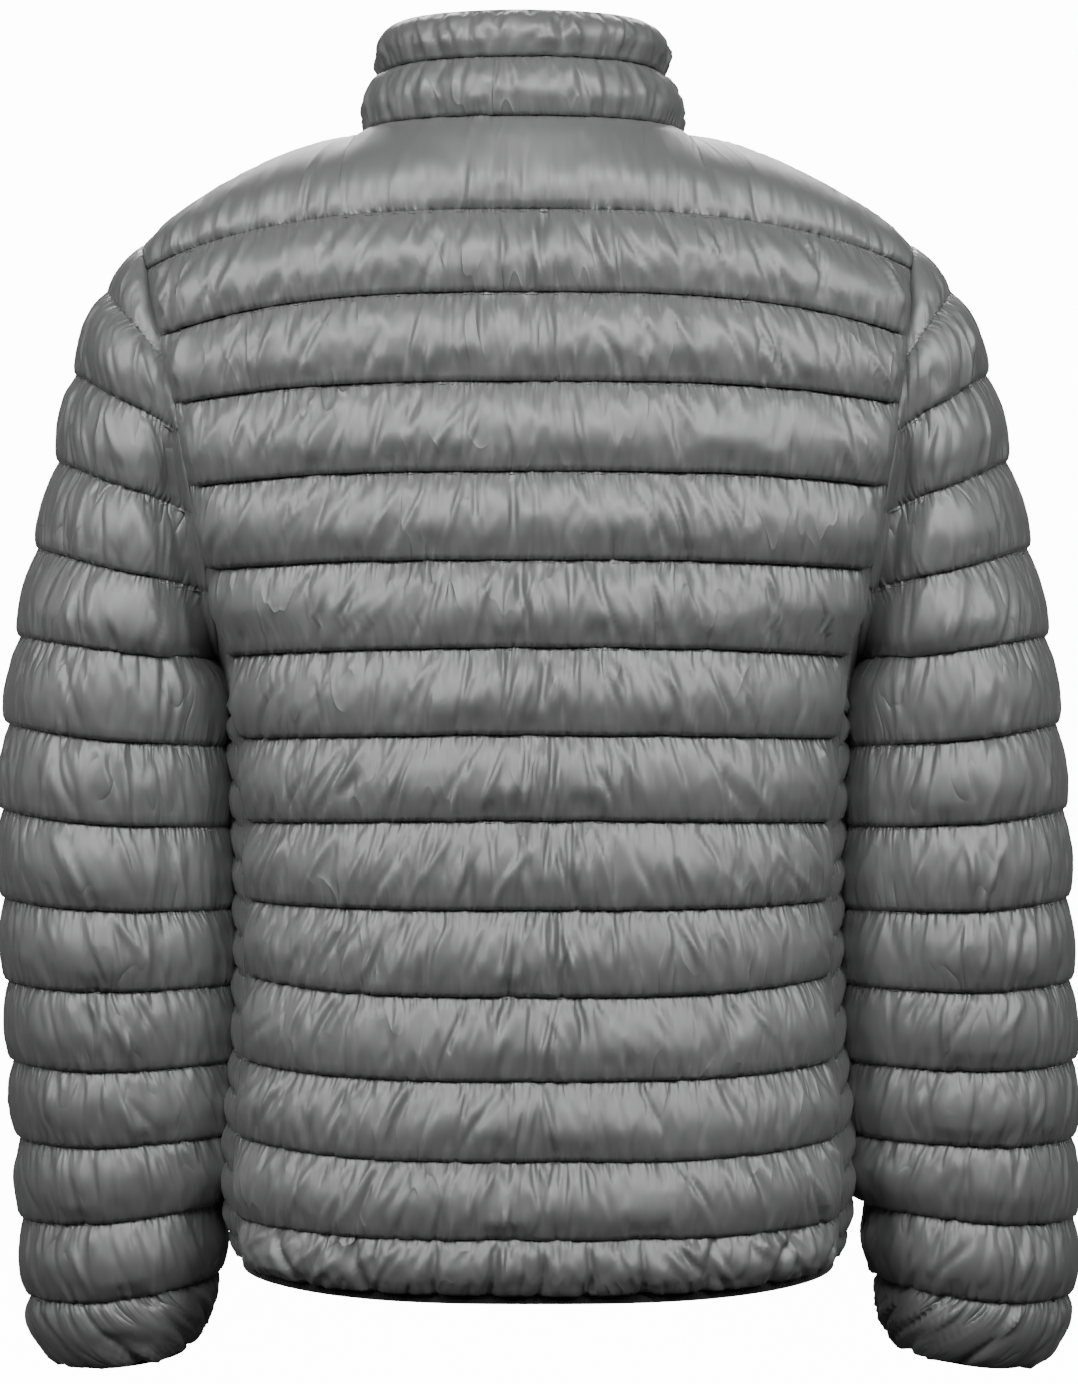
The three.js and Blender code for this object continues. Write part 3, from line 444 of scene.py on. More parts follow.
def fill_out(name, points, held, outward):
    """Let a sheet swell as cloth between its held rows and edges, and return its points."""
    bm = bmesh.new()
    cells, _ = grid_faces(bm, points, outward)
    order = [cells[vert] for vert in bm.verts]
    sheet = finished_object(name, bm, None)
    group = sheet.vertex_groups.new(name="sewn")
    for index, (i, k) in enumerate(order):
        group.add([index], float(held[i, k]), "REPLACE")
    cloth = sheet.modifiers.new("filling", "CLOTH")
    settings = cloth.settings
    settings.quality = 4
    settings.mass = 0.15
    settings.air_damping = 3
    settings.tension_stiffness = 25
    settings.compression_stiffness = 25
    settings.shear_stiffness = 8
    settings.bending_stiffness = 0.05
    settings.vertex_group_mass = "sewn"
    settings.shrink_min = -EXCESS
    settings.shrink_max = -EXCESS
    settings.use_pressure = True
    settings.uniform_pressure_force = 4
    settings.effector_weights.gravity = 0
    cloth.collision_settings.use_collision = False
    scene = bpy.context.scene
    for number in range(1, SWELLING_FRAMES + 1):
        scene.frame_set(number)
    depsgraph = bpy.context.evaluated_depsgraph_get()
    swollen = sheet.evaluated_get(depsgraph).to_mesh()
    result = points.copy()
    for index, (i, k) in enumerate(order):
        result[i, k] = swollen.vertices[index].co / MM
    sheet_mesh = sheet.data
    bpy.data.objects.remove(sheet)
    bpy.data.meshes.remove(sheet_mesh)
    scene.frame_set(1)
    return result


MIDDLE_SHARE = 0.12         # share of the creases that lie along the middle of the back
MIDDLE_SPREAD = 25
TURNS_WITHIN = 60           # the slant changes over about this far from the middle


def wrinkled(along, lines, seed, kind, pitch=PITCH, middle=None, slant=0.0):
    """How far creases of one kind, scattered over a panel, make its points stand out.

    Left of the middle they slant one way and right of it the other, by slant on average.
    """
    chance = np.random.default_rng(seed)
    down = lines * pitch
    low, high = along.min(), along.max()
    total = np.zeros_like(along)
    count = int((high - low) * (down.max() - down.min()) / (kind["apart"] * pitch))
    for _ in range(count):
        if middle is not None and chance.random() < MIDDLE_SHARE:
            u = chance.normal(middle, MIDDLE_SPREAD)
        else:
            u = chance.uniform(low, high)
        angle = chance.normal(-slant * np.tanh(u / TURNS_WITHIN), kind["spread"])
        length = chance.uniform(*kind["length"])
        width = chance.uniform(*kind["width"])
        size = chance.uniform(*kind["height"]) * chance.choice([-1, 1])
        line = chance.uniform(down.min(), down.max())
        if chance.random() < kind["at_seams"]:
            seam = round(line / pitch) * pitch
            line = seam + chance.choice(kind["side"]) * length * 0.8
        du = along - u
        dv = down - line
        close = (np.abs(du) < 45) & (np.abs(dv) < 60)
        a = du[close] * math.cos(angle) + dv[close] * math.sin(angle)
        b = dv[close] * math.cos(angle) - du[close] * math.sin(angle)
        taper = np.exp(-1.4 * (b / length) ** 2)
        bend = a + 0.08 * b * b / length * chance.normal(0, 1)
        steep = np.where(bend > 0, bend / width, bend / (2.2 * width))
        ridge = np.exp(-np.abs(steep) ** 1.5) - 0.35 * np.exp(-(steep / 2.5) ** 2)
        total[close] += size * ridge * taper
    return total


# Sizes in millimetres of the creases that the stitching draws into the nylon
LONG_CREASES = {"apart": 8, "length": (10, 30), "width": (1.1, 2.1), "height": (0.8, 4.2),
                "spread": 0.16, "at_seams": 0.6, "side": (-1, 1)}
SHORT_PUCKERS = {"apart": 2.2, "length": (3, 11), "width": (1.0, 1.7), "height": (0.5, 1.8),
                 "spread": 0.2, "at_seams": 1.0, "side": (-1, 1)}
SOFT_HUMPS = {"apart": 16, "length": (8, 16), "width": (3, 7), "height": (0.2, 0.9),
              "spread": 0.3, "at_seams": 0.8, "side": (-1, -1, 1)}


STITCH = 3.2                # from one stitch to the next
STITCH_SHOWS = 0.36         # half the share of a stitch where the thread shows
THREAD = 0.34               # half the thickness of the thread
SEWN_BELOW = 0.62           # in rows below the line, so that the baffle above doesn't hide it


def copies(bm, count):
    """Repeat what a mesh holds until it is there count times, and return the vertices of each."""
    size = len(bm.verts)
    while len(bm.verts) < size * count:
        bmesh.ops.duplicate(bm, geom=bm.verts[:] + bm.edges[:] + bm.faces[:])
    bm.verts.ensure_lookup_table()
    bmesh.ops.delete(bm, geom=bm.verts[size * count:], context="VERTS")
    bm.verts.ensure_lookup_table()
    return [bm.verts[first:first + size] for first in range(0, size * count, size)]


def sewn_lines(name, outside, along, stitched, material):
    """Stitches along the sewn rows of a panel, each a short loop of thread that lies on the cloth."""
    ends = []
    for row in stitched:
        line = mix(outside[row], outside[row + 1], SEWN_BELOW)
        middles = np.arange(along[row, 1] + STITCH, along[row, -2], STITCH)
        reach = STITCH * STITCH_SHOWS
        start, end = (
            np.stack([np.interp(places, along[row], line[:, axis]) for axis in range(3)], axis=1)
            for places in (middles - reach, middles + reach))
        ends += list(zip(start, end))
    bm = bmesh.new()
    bmesh.ops.create_uvsphere(bm, u_segments=4, v_segments=2, radius=1)
    for face in bm.faces:
        face.smooth = True
    for verts, (start, end) in zip(copies(bm, len(ends)), ends):
        start, end = Vector(start), Vector(end)
        turned = (end - start).to_track_quat("Z", "Y").to_matrix()
        size = Matrix.Diagonal((THREAD, THREAD, (end - start).length / 2))
        for vert in verts:
            vert.co = (turned @ size @ vert.co + (start + end) / 2) * MM
    piece = finished_object(name, bm, material)
    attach(piece, "jacket")


FULLEST_BELOW = 1.22        # above 1, a baffle is fullest below its middle
ROUND_SHARE = 0.85          # how much of a baffle's rise is round
FLAT_SHARE = 0.15           # and how much is flat, with steep sides
SAG = 2.2                   # how far the foot of a baffle hangs down
LIP = 2.6                   # and how much farther just above the next line
SWELLING_SHARE = 0.55       # how much of the movement of the swelling cloth is used
SWELLING_LIMIT = 5.0        # what goes beyond it is cut off first
CREASES_BETWEEN = (-3.5, 5)


def quilted_panel(name, base, lines, crown, seed, outward, material, wrinkles=1.0,
                  gathers=None, droop=None, middle=None, pitch=PITCH, slant=0.0):
    """A padded panel: puffed baffles outside, a plain wall inside, closed round its edges.

    lines counts the stitched lines down the panel, with whole numbers on the stitching.
    crown is the rise of the fullest baffles at each point, before wrinkles, in millimetres.
    gathers and droop shape the baffle next to an elastic.
    """
    normals = grid_normals(base, outward)
    along = arc_lengths(base)
    share = lines - np.floor(lines + NEAR)
    share[share < NEAR] = 0
    turn = np.abs(2 * share ** FULLEST_BELOW - 1)
    bulge = ROUND_SHARE * (1 - turn ** 2) + FLAT_SHARE * (1 - turn ** 10)
    bulge[share == 0] = 0
    crown_share = np.clip(crown / CROWN, 0, 1)
    outside = base + normals * (crown * bulge)[..., None]
    overhang = SAG * share ** 2 + LIP * np.exp(-((share - 0.9) / 0.07) ** 2)
    if droop is not None:
        overhang = overhang + droop(lines, share)
    outside[..., 2] -= overhang * crown_share * (share > 0)
    held = (share == 0).astype(float)
    held[:, 0] = held[:, -1] = 1
    held[0] = held[-1] = 1
    seeds = wrinkled(along, lines, seed + 100, SOFT_HUMPS, pitch, middle, slant)
    start = base + (outside - base) * 0.85 + normals * (seeds * (held < 0.5))[..., None]
    coarse = (slice(None, None, 2), slice(None, None, 2))
    swollen = fill_out(name + "_sheet", start[coarse], held[coarse], outward)
    move = swollen - outside[coarse]
    far = np.linalg.norm(move, axis=2, keepdims=True)
    move *= SWELLING_SHARE * np.minimum(1, SWELLING_LIMIT / np.maximum(far, 1e-6))
    move[held[coarse] > 0.5] = 0
    outside = outside + refined(move) * (1 - held)[..., None] * crown_share[..., None]
    free = np.clip(bulge * 2.2, 0, 1) * crown_share
    relief = wrinkles * wrinkled(along, lines, seed, LONG_CREASES, pitch, middle, slant)
    relief += wrinkles * wrinkled(along, lines, seed + 1, SHORT_PUCKERS, pitch, None, slant)
    relief += wrinkles * wrinkled(along, lines, seed + 2, SOFT_HUMPS, pitch, None, slant)
    if gathers is not None:
        relief = relief + gathers(along, lines)
    outside += normals * (np.clip(relief, *CREASES_BETWEEN) * free)[..., None]

    bm = bmesh.new()
    cells, outer_faces = grid_faces(bm, outside, outward)
    inside = (base - normals * WALL)[::INNER_EVERY, ::INNER_EVERY]
    inner_cells, _ = grid_faces(bm, inside, [-value for value in outward])
    bmesh.ops.bridge_loops(bm, edges=[edge for edge in bm.edges if edge.is_boundary])
    uv = bm.loops.layers.uv.new("cloth")
    for vert, (i, k) in inner_cells.items():
        cells[vert] = (i * INNER_EVERY, k * INNER_EVERY)
    for face in bm.faces:
        face.smooth = True
        for loop in face.loops:
            i, k = cells[loop.vert]
            loop[uv].uv = (along[i, k] * MM, lines[i, k])
    outer = set(outer_faces)
    for edge in bm.edges:
        first, second = edge.verts
        outer_count = sum(face in outer for face in edge.link_faces)
        stitched = share[cells[first]] == 0 and share[cells[second]] == 0
        edge.smooth = not (outer_count == 1 or (outer_count == 2 and stitched))
    piece = finished_object(name, bm, material)
    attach(piece, "jacket")
    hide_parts(name.replace("panel_", ""))
    stitched = [row for row in range(1, len(base) - 1) if share[row, 0] == 0]
    sewn_lines(name.replace("panel", "stitches"), outside, along, stitched, sewing_thread)


def nylon_material(name):
    """Satin nylon: fine puckers run from every stitched line, over a very fine weave, with painted
    shade along each stitched line.
    """
    made = Material(name, IOR=1.5, Metallic=0.45, Sheen_Weight=0.1, Sheen_Roughness=0.4)
    uv = made.node("ShaderNodeUVMap", {"uv_map": "cloth"}, {})
    u = made.node("ShaderNodeSeparateXYZ", {}, {0: uv}, output=0)
    v = made.node("ShaderNodeSeparateXYZ", {}, {0: uv}, output=1)
    line = v.function("ROUND")
    pitch = PITCH * MM      # doubled in the first baffle, which is deeper on the back
    from_line = abs(v - line) * (pitch + v.function("LESS_THAN", 1.0) * pitch)

    def noise(across, down, depth, detail=1.0):
        place = made.node("ShaderNodeCombineXYZ", {}, {0: across, 1: down, 2: depth})
        return made.node("ShaderNodeTexNoise", {}, {
            "Vector": place, "Scale": 1.0, "Detail": detail, "Roughness": 0.5})

    def falling(distance, rate):
        return made.node("ShaderNodeMath", {"operation": "EXPONENT"}, {0: distance * -rate})

    slanted = u + (noise(u * 12, v * 0.8, 1.0) - 0.5) * 0.02
    fine = noise(slanted * 230, v * 2.0, 2.0)
    folds = noise(slanted * 75, v * 1.1, 4.0)
    where = noise(u * 22, v * 1.4, 9.0).function("SUBTRACT", 0.5)
    sharp = falling(abs(folds - 0.5), 16) * where.function("MAXIMUM", 0.0)
    sharp = sharp * falling(from_line, 60)
    weave = made.node("ShaderNodeTexNoise", {}, {
        "Vector": made.node("ShaderNodeTexCoord", {}, {}, output=3), "Scale": 1400.0, "Detail": 1.0})
    puckers = (fine - 0.5) * (falling(from_line, 220) * 0.007 + 0.0002)
    soft = (folds - 0.5) * (falling(from_line, 80) * 0.002 + 0.0005)
    made.relief(puckers + soft - sharp * 0.012 + (weave - 0.5) * 0.00003)
    # Painted shade: the nylon is painted darker close to each stitched line, where the seam's groove
    # lies in shadow.
    seam_shade = falling(from_line, 1800)
    nylon = (0.2, 0.201, 0.203, 1)
    painted_seam_shade = (0.07, 0.07, 0.071, 1)
    made.feed("Base Color", made.colours(seam_shade * 0.6, nylon, painted_seam_shade))
    made.feed("Roughness", 0.49 + (folds - 0.5) * 0.08)
    return made.material


def thread_material(name):
    """Twisted polyester thread, a little lighter than the nylon."""
    made = Material(name, Roughness=0.6)
    place = made.node("ShaderNodeTexCoord", {}, {}, output=3)
    shade = made.node("ShaderNodeTexNoise", {}, {"Vector": place, "Scale": 900.0})
    made.feed("Base Color", made.colours(shade, (0.16, 0.161, 0.163, 1), (0.34, 0.341, 0.343, 1)))
    return made.material


shell_nylon = nylon_material("shell_nylon")
sewing_thread = thread_material("sewing_thread")
ROWS_IN_BAFFLE = 16


def counted(count, low, high):
    return [mix(low, high, k / count) for k in range(count + 1)]


body_rows = counted(HEM * ROWS_IN_BAFFLE, 0, HEM)


def hem_gathers(along, lines):
    """Folds that the elastic pulls into the last baffle above it, about 40 mm apart."""
    low = np.clip(lines - (HEM - 1), 0, 1)
    sway = 4 * np.sin(low * 3.5 + along / 45) + 26 * low * np.tanh(along / 150)
    place = (along + sway) / 38 + 0.25 * np.sin(along / 37)
    narrow = np.exp(-np.abs((place - np.round(place)) / 0.075) ** 1.3)
    fine = np.cos((along + sway) / 13 * 2 * np.pi + 1.3 * np.sin(along / 21))
    return low ** 0.5 * (-7.5 * narrow + 1.2 + 0.35 * fine)


def hem_droop(lines, share):
    """The last baffle is pushed down over the elastic."""
    return np.where(lines > HEM - 1, 0.8 * np.exp(-((share - 0.86) / 0.15) ** 2), 0)


def line_grid(rows, columns):
    return np.repeat(np.array(rows, dtype=float)[:, None], len(columns), axis=1)


back_columns = counted(400, -BODY_COLUMNS, BODY_COLUMNS)


def back_point(line, column):
    point = body_point(line, abs(column), 1)
    return (math.copysign(point.x, column) if column else 0, point.y, point.z)


back_base = base_grid(back_point, body_rows, back_columns, 1)
back_shares = np.abs(np.array(back_columns)) / BODY_COLUMNS
TOP_FLATTER = 0.5           # the baffle on the shoulders is stretched flatter
top_full = np.array([mix(TOP_FLATTER, 1, smooth(0.4, 1.0, line)) for line in body_rows])
back_crown = CROWN * np.minimum(1, 11 * (1 - back_shares) + 0.12)[None, :] * top_full[:, None]
quilted_panel("panel_back", back_base, line_grid(body_rows, back_columns), back_crown,
              seed=3, outward=(0, 1, 0.2), material=shell_nylon, gathers=hem_gathers,
              droop=hem_droop, wrinkles=top_full[:, None] ** 1.5, middle=0, slant=0.45)

# Front panels
# Two pieces like the back, cut at the centre front for the zip, with a free edge beside it.
front_columns = counted(160, 0, BODY_COLUMNS)
front_shares = np.array(front_columns) / BODY_COLUMNS
for side, sign in (("left", 1), ("right", -1)):
    front_base = base_grid(lambda line, column: body_point(line, column, -1),
                           body_rows, front_columns, sign)
    fade = np.minimum(1, 6 * (1 - front_shares) + 0.15) * np.minimum(1, front_shares * 14 + 0.1)
    front_crown = CROWN * fade[None, :] * top_full[:, None]
    quilted_panel("panel_front_" + side, front_base, line_grid(body_rows, front_columns),
                  front_crown, seed=11 if side == "left" else 12, outward=(0, -1, 0.2),
                  material=shell_nylon, gathers=hem_gathers, droop=hem_droop)

# Side panels
# A narrow strip under each arm, sewn between the back and a front, with baffles half as high
# whose lines climb towards the front.
SIDE_COLUMNS = 2 * (UNDERARM_STEP - SIDE_SEAM_STEP)
SIDE_TOP = SIDE_SEAM_STEP / STEPS
SIDE_CROWN = 5.0
SIDE_CLIMB = 0.45           # in baffles of the back, from the back seam to the front seam
SIDE_BAFFLES = 17


def across_side(start, end, reach, share):
    """A curve that bulges out between the two seams of a side panel."""
    out = reach * math.cos(SEAM_TURN)
    inward = reach * math.sin(SEAM_TURN)
    a = start + Vector((out, -inward, 0))
    b = end + Vector((out, inward, 0))
    rest = 1 - share
    return (start * rest ** 3 + a * (3 * rest * rest * share)
            + b * (3 * rest * share * share) + end * share ** 3)


def side_point(line, column):
    half = SIDE_COLUMNS / 2
    share = column / SIDE_COLUMNS
    behind = body_end(line, 1)
    before = body_end(line, -1)
    settled = smooth(SIDE_TOP, SIDE_TOP + 2, line)
    reach = mix(0.08, 0.3, settled) * (behind - before).length
    facing = 1 if column <= half else -1
    top = armhole_point(UNDERARM_STEP - abs(column - half), facing)
    sag = top - across_side(
        armhole_point(SIDE_SEAM_STEP, 1), armhole_point(SIDE_SEAM_STEP, -1), reach, share)
    from_top = 1 - smooth(SIDE_TOP, SIDE_TOP + 1.6, line)
    return across_side(behind, before, reach, share) + sag * from_top


def climbing_point(line, column):
    fade = smooth(SIDE_TOP, SIDE_TOP + 1.2, line) * (1 - smooth(HEM - 1.2, HEM, line))
    return side_point(line - SIDE_CLIMB * fade * column / SIDE_COLUMNS, column)


side_rows = counted(SIDE_BAFFLES * 8, SIDE_TOP, HEM)
side_columns = counted(64, 0, SIDE_COLUMNS)
side_shares = np.array(side_columns) / SIDE_COLUMNS
for side, sign in (("left", 1), ("right", -1)):
    side_base = base_grid(climbing_point, side_rows, side_columns, sign)
    rise = np.sqrt(np.sin(np.pi * np.clip(side_shares, 0.02, 0.98)))
    top_fade = np.array([smooth(SIDE_TOP, SIDE_TOP + 1, line) for line in side_rows])
    side_crown = SIDE_CROWN * rise[None, :] * top_fade[:, None]
    half_lines = (line_grid(side_rows, side_columns) - SIDE_TOP) * SIDE_BAFFLES / (HEM - SIDE_TOP)
    quilted_panel("panel_side_" + side, side_base, half_lines, side_crown, seed=21,
                  outward=(sign, 0, 0), material=shell_nylon, wrinkles=0.5, pitch=PITCH / 2)

# Sleeves
# One piece each, set into the armhole and closed by a seam under the arm. Its stitched lines
# run round the arm, and the baffles next to the body are squeezed flatter.
SLEEVE_LINES = [            # outermost x and z, innermost x and z, half depth, middle y, step
    (238, -73, 0, 0, 49, 0, 3),
    (263, -103, 0, 0, 77, 0, 7),
    (283, -155, 0, 0, 83, 0, 10),
    (295, -209, 0, 0, 82, 0, 13),
    (308, -263, 0, 0, 80, 0, 16),
    (319, -318, 203, -330, 79, 0, 20),
    (326, -372, 209, -386, 78, -1, 20),
    (330, -425, 208, -436, 77, -3, 20),
    (330, -480, 205, -487, 76, -6, 20),
    (329, -532, 204, -534, 75, -10, 20),
    (328, -582, 204, -582, 73, -15, 20),
    (326, -631, 205, -627, 71, -20, 20),
    (326, -682, 206, -670, 68, -25, 20),
    (322, -731, 209, -718, 64, -29, 20),
    (301, -768, 228, -760, 42, -31, 20),
]
CUFF = len(SLEEVE_LINES) - 1
SLEEVE_HALF_COLUMNS = 9
SWING = {"left": -7, "right": 8}        # how far out the cuffs swing, or in where below 0
SWINGS_FROM = -430
SWINGS_TO = -770
SLEEVE_INNER = 0.35         # how full the side next to the body is
SLEEVE_INNER_LOW = {"left": 0.5, "right": 1.0}      # and in the last baffles
SLEEVE_OUTER = 0.5          # the outer side is pulled taut, so its seams dip less
SEAM_OUT = 4.0              # and they lie this much farther out
ARMHOLE_FLAT = 0.15         # how full the baffles are beside the armhole seam
CREVICE = 18                # a fold beside the lower armhole, where the sleeve turns down
SLEEVE_LEANS_IN = 16.0      # below the underarm the sleeve lies close against the body
CUFF_CROWN = 12.0
TOP_CROWN = 0.45            # how full the first baffle is, on the shoulder
SLIMMER = {"left": 0, "right": 7}       # the right upper arm stands out less


def sleeve_point(line, column, side):
    facing = -1 if column < 0 else 1
    share = abs(column) / SLEEVE_HALF_COLUMNS
    if line < NEAR:
        return armhole_point(SLEEVE_LINES[0][6] * share, facing)
    out_x, out_z = (table_value(SLEEVE_LINES, c, line) for c in (0, 1))
    depth, y = (table_value(SLEEVE_LINES, c, line) for c in (4, 5))
    if line < UNDERARM_LINE:
        row = int(line + NEAR)
        end = armhole_point(mix(SLEEVE_LINES[row][6], SLEEVE_LINES[row + 1][6], line - row), facing)
    else:
        in_x, in_z = (table_value(SLEEVE_LINES, c, line, UNDERARM_LINE) for c in (2, 3))
        end = Vector((in_x, 0, in_z))
    depth = max(depth, 1.02 * abs(end.y))
    full = math.pi - math.asin(abs(end.y) / depth)
    angle = full * share
    along = (1 - math.cos(angle)) / (1 - math.cos(full))
    z = mix(out_z, end.z, along)
    aside = SWING[side] * smooth(SWINGS_FROM, SWINGS_TO, z)
    slimmer = SLIMMER[side] * (1 - along) * smooth(-60, -200, z)
    slimmer *= 1 - smooth(-380, -620, z)
    level = min(smooth(0.5, 2.5, line), 1 - smooth(CUFF - 1, CUFF, line))
    aside += SEAM_OUT * level * (1 - smooth(0.1, 0.45, share))
    close = smooth(-322, -350, z) * (1 - smooth(-640, -690, z)) * smooth(0.55, 0.9, share)
    x = mix(out_x, end.x, along) + aside - slimmer - SLEEVE_LEANS_IN * close
    crevice = CREVICE * smooth(0.7, 0.88, share) * (1 - smooth(0.93, 1, share))
    crevice *= smooth(-150, -240, z)
    if line > UNDERARM_LINE:
        crevice *= 1 - smooth(UNDERARM_LINE, UNDERARM_LINE + 1, line)
    return Vector((x, y + facing * (depth * math.sin(angle) - crevice), z))


def cuff_gathers(along, lines):
    """Folds that the elastic pulls into the last baffle of a sleeve."""
    low = np.clip(lines - (CUFF - 1), 0, 1)
    place = along / 27 + 0.3 * np.sin(along / 31)
    narrow = np.exp(-np.abs((place - np.round(place)) / 0.09) ** 1.3)
    return low ** 0.6 * (1.0 - 5.0 * narrow)


def cuff_droop(lines, share):
    """The last baffle is pushed down over the elastic of the cuff."""
    return np.where(lines > CUFF - 1, 4.5 * np.exp(-((share - 0.85) / 0.2) ** 2), 0)


sleeve_rows = counted(CUFF * ROWS_IN_BAFFLE, 0, CUFF)
sleeve_columns = counted(320, -SLEEVE_HALF_COLUMNS, SLEEVE_HALF_COLUMNS)
sleeve_shares = np.abs(np.array(sleeve_columns)) / SLEEVE_HALF_COLUMNS


def along_sleeve(low, high):
    """From 0 at one line of the sleeve to 1 at another, as a column with one value a row."""
    return np.array([smooth(low, high, line) for line in sleeve_rows])[:, None]


def round_sleeve(low, high):
    """From 0 to 1 on the way from the outer side to the seam, as a row."""
    return np.array([smooth(low, high, share) for share in sleeve_shares])[None, :]


for side, sign in (("left", 1), ("right", -1)):
    sleeve_base = base_grid(lambda line, column: sleeve_point(line, column, side),
                            sleeve_rows, sleeve_columns, sign)
    taut = mix(SLEEVE_OUTER, 1, round_sleeve(0.1, 0.45))
    inner = mix(SLEEVE_INNER, SLEEVE_INNER_LOW[side], along_sleeve(CUFF - 4, CUFF - 2))
    free_side = mix(1, inner, round_sleeve(0.45, 0.95))
    sewn_side = mix(1, ARMHOLE_FLAT, round_sleeve(0.55, 0.98))
    below = along_sleeve(UNDERARM_LINE - 0.5, UNDERARM_LINE + 0.5)
    squeezed = taut * (sewn_side * (1 - below) + free_side * below)
    squeezed[-ROWS_IN_BAFFLE:] = free_side[-ROWS_IN_BAFFLE:]
    full = np.array([CUFF_CROWN if line > CUFF - 1 else CROWN for line in sleeve_rows])
    full[:ROWS_IN_BAFFLE] *= TOP_CROWN
    sleeve_crown = full[:, None] * squeezed
    quilted_panel("panel_sleeve_" + side, sleeve_base, line_grid(sleeve_rows, sleeve_columns),
                  sleeve_crown, seed=31 if side == "left" else 37, outward=(sign, 0, 0.1),
                  material=shell_nylon, gathers=cuff_gathers, droop=cuff_droop, slant=0.2)

# Collar
# A standing strip of two baffles sewn to the neck seam, open at the centre front.
collar_rows = counted(32, 0, 2)
collar_columns = counted(320, -FRONT_ANGLE, FRONT_ANGLE)
collar_base = base_grid(lambda line, angle: collar_point(angle, 2 - line),
                        collar_rows, collar_columns, 1)
collar_shares = np.abs(np.array(collar_columns)) / FRONT_ANGLE
collar_fade = np.minimum(1, 12 * (1 - collar_shares) + 0.1)
collar_crown = CROWN * collar_fade[None, :] * np.ones((len(collar_rows), 1))
quilted_panel("panel_collar", collar_base, line_grid(collar_rows, collar_columns),
              collar_crown, seed=41, outward=(0, 1, 0), material=shell_nylon, pitch=33)

# Elastic bindings
# A strip of black knitted elastic is folded in half and sewn under the hem and round each cuff.
# It is stretched while it is sewn, and draws the last baffle in when it springs back.
BAND_DROP = 9.0             # how far the fold hangs below the edge
BAND_TUCK = 1.6             # how far its outside is set in from the edge
BAND_FOLD = 2.8             # across both layers
BAND_LAYER = 1.1
BAND_ABOVE = 1.5            # how far its edges reach up into the seam
RIB = 2.6                   # from one rib of the knitting to the next
RIB_RISE = 0.22
MERGE = 0.00002             # metres within which two vertices are one


def band_section():
    """The folded strip cut across: distance in from its outside, and height above the edge."""
    steps = 6
    outer = BAND_FOLD / 2
    inner = outer - BAND_LAYER
    bottom = outer - BAND_DROP
    around = [math.pi * k / steps for k in range(steps + 1)]
    outside = [(outer - outer * math.cos(turn), bottom - outer * math.sin(turn)) for turn in around]
    inside = [(outer + inner * math.cos(turn), bottom - inner * math.sin(turn)) for turn in around]
    heights = (BAND_ABOVE, -1.5, -4.5)
    down = [(0, height) for height in heights]
    up = [(BAND_FOLD, height) for height in reversed(heights)]
    back_down = [(BAND_FOLD - BAND_LAYER, height) for height in heights]
    back_up = [(BAND_LAYER, height) for height in reversed(heights)]
    return down + outside + up + back_down + inside + back_up


def elastic_band(name, edge, ring, material):
    """A folded elastic strip that hangs from an edge, given as points in millimetres."""
    steps = np.linalg.norm(np.diff(edge, axis=0), axis=1)
    along = np.concatenate([[0], np.cumsum(steps)])
    count = int(along[-1] / RIB) * 4
    places = np.linspace(0, along[-1], count + 1)
    line = np.stack([np.interp(places, along, edge[:, axis]) for axis in range(3)], axis=1)
    tangent = np.gradient(line, axis=0)
    if ring:
        tangent[0] = tangent[-1] = tangent[0] + tangent[-1]
    ways = np.stack([tangent[:, 1], -tangent[:, 0], np.zeros(count + 1)], axis=1)
    ways /= np.linalg.norm(ways, axis=1, keepdims=True)
    if np.dot(ways[0], line[0] - line.mean(axis=0)) < 0:
        ways = -ways
    section = band_section()
    points = np.empty((len(section) + 1, count + 1, 3))
    ribs = RIB_RISE * np.cos(places / RIB * 2 * np.pi)
    faces = {0: 1, BAND_LAYER: 1, BAND_FOLD: -1, BAND_FOLD - BAND_LAYER: -1}
    for i, (inward, rise) in enumerate(section + section[:1]):
        points[i] = line - ways * (BAND_TUCK + inward - faces.get(inward, 0) * ribs)[:, None]
        points[i, :, 2] += rise
    bm = bmesh.new()
    cells, _ = grid_faces(bm, points, (0, 0, 1))
    uv = bm.loops.layers.uv.new("cloth")
    for face in bm.faces:
        face.smooth = True
        for loop in face.loops:
            i, k = cells[loop.vert]
            loop[uv].uv = (places[k] * MM, section[i % len(section)][1] * MM)
    bmesh.ops.remove_doubles(bm, verts=bm.verts, dist=MERGE)
    open_ends = [border for border in bm.edges if border.is_boundary]
    if open_ends:
        bmesh.ops.holes_fill(bm, edges=open_ends)
    bmesh.ops.recalc_face_normals(bm, faces=bm.faces)
    piece = finished_object(name + "_elastic", bm, material)
    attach(piece, "jacket")
    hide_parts(name)


def elastic_material(name):
    """Black ribbed knit, with a fine fuzz of fibres."""
    made = Material(name, Roughness=0.92, Sheen_Weight=0.4, Sheen_Roughness=0.5)
    uv = made.node("ShaderNodeUVMap", {"uv_map": "cloth"}, {})
    loops = made.node("ShaderNodeTexNoise", {}, {"Vector": uv, "Scale": 1500.0, "Detail": 2.0})
    made.feed("Base Color", made.colours(loops, (0.006, 0.006, 0.006, 1), (0.022, 0.022, 0.023, 1)))
    made.relief((loops - 0.5) * 0.0003)
    return made.material


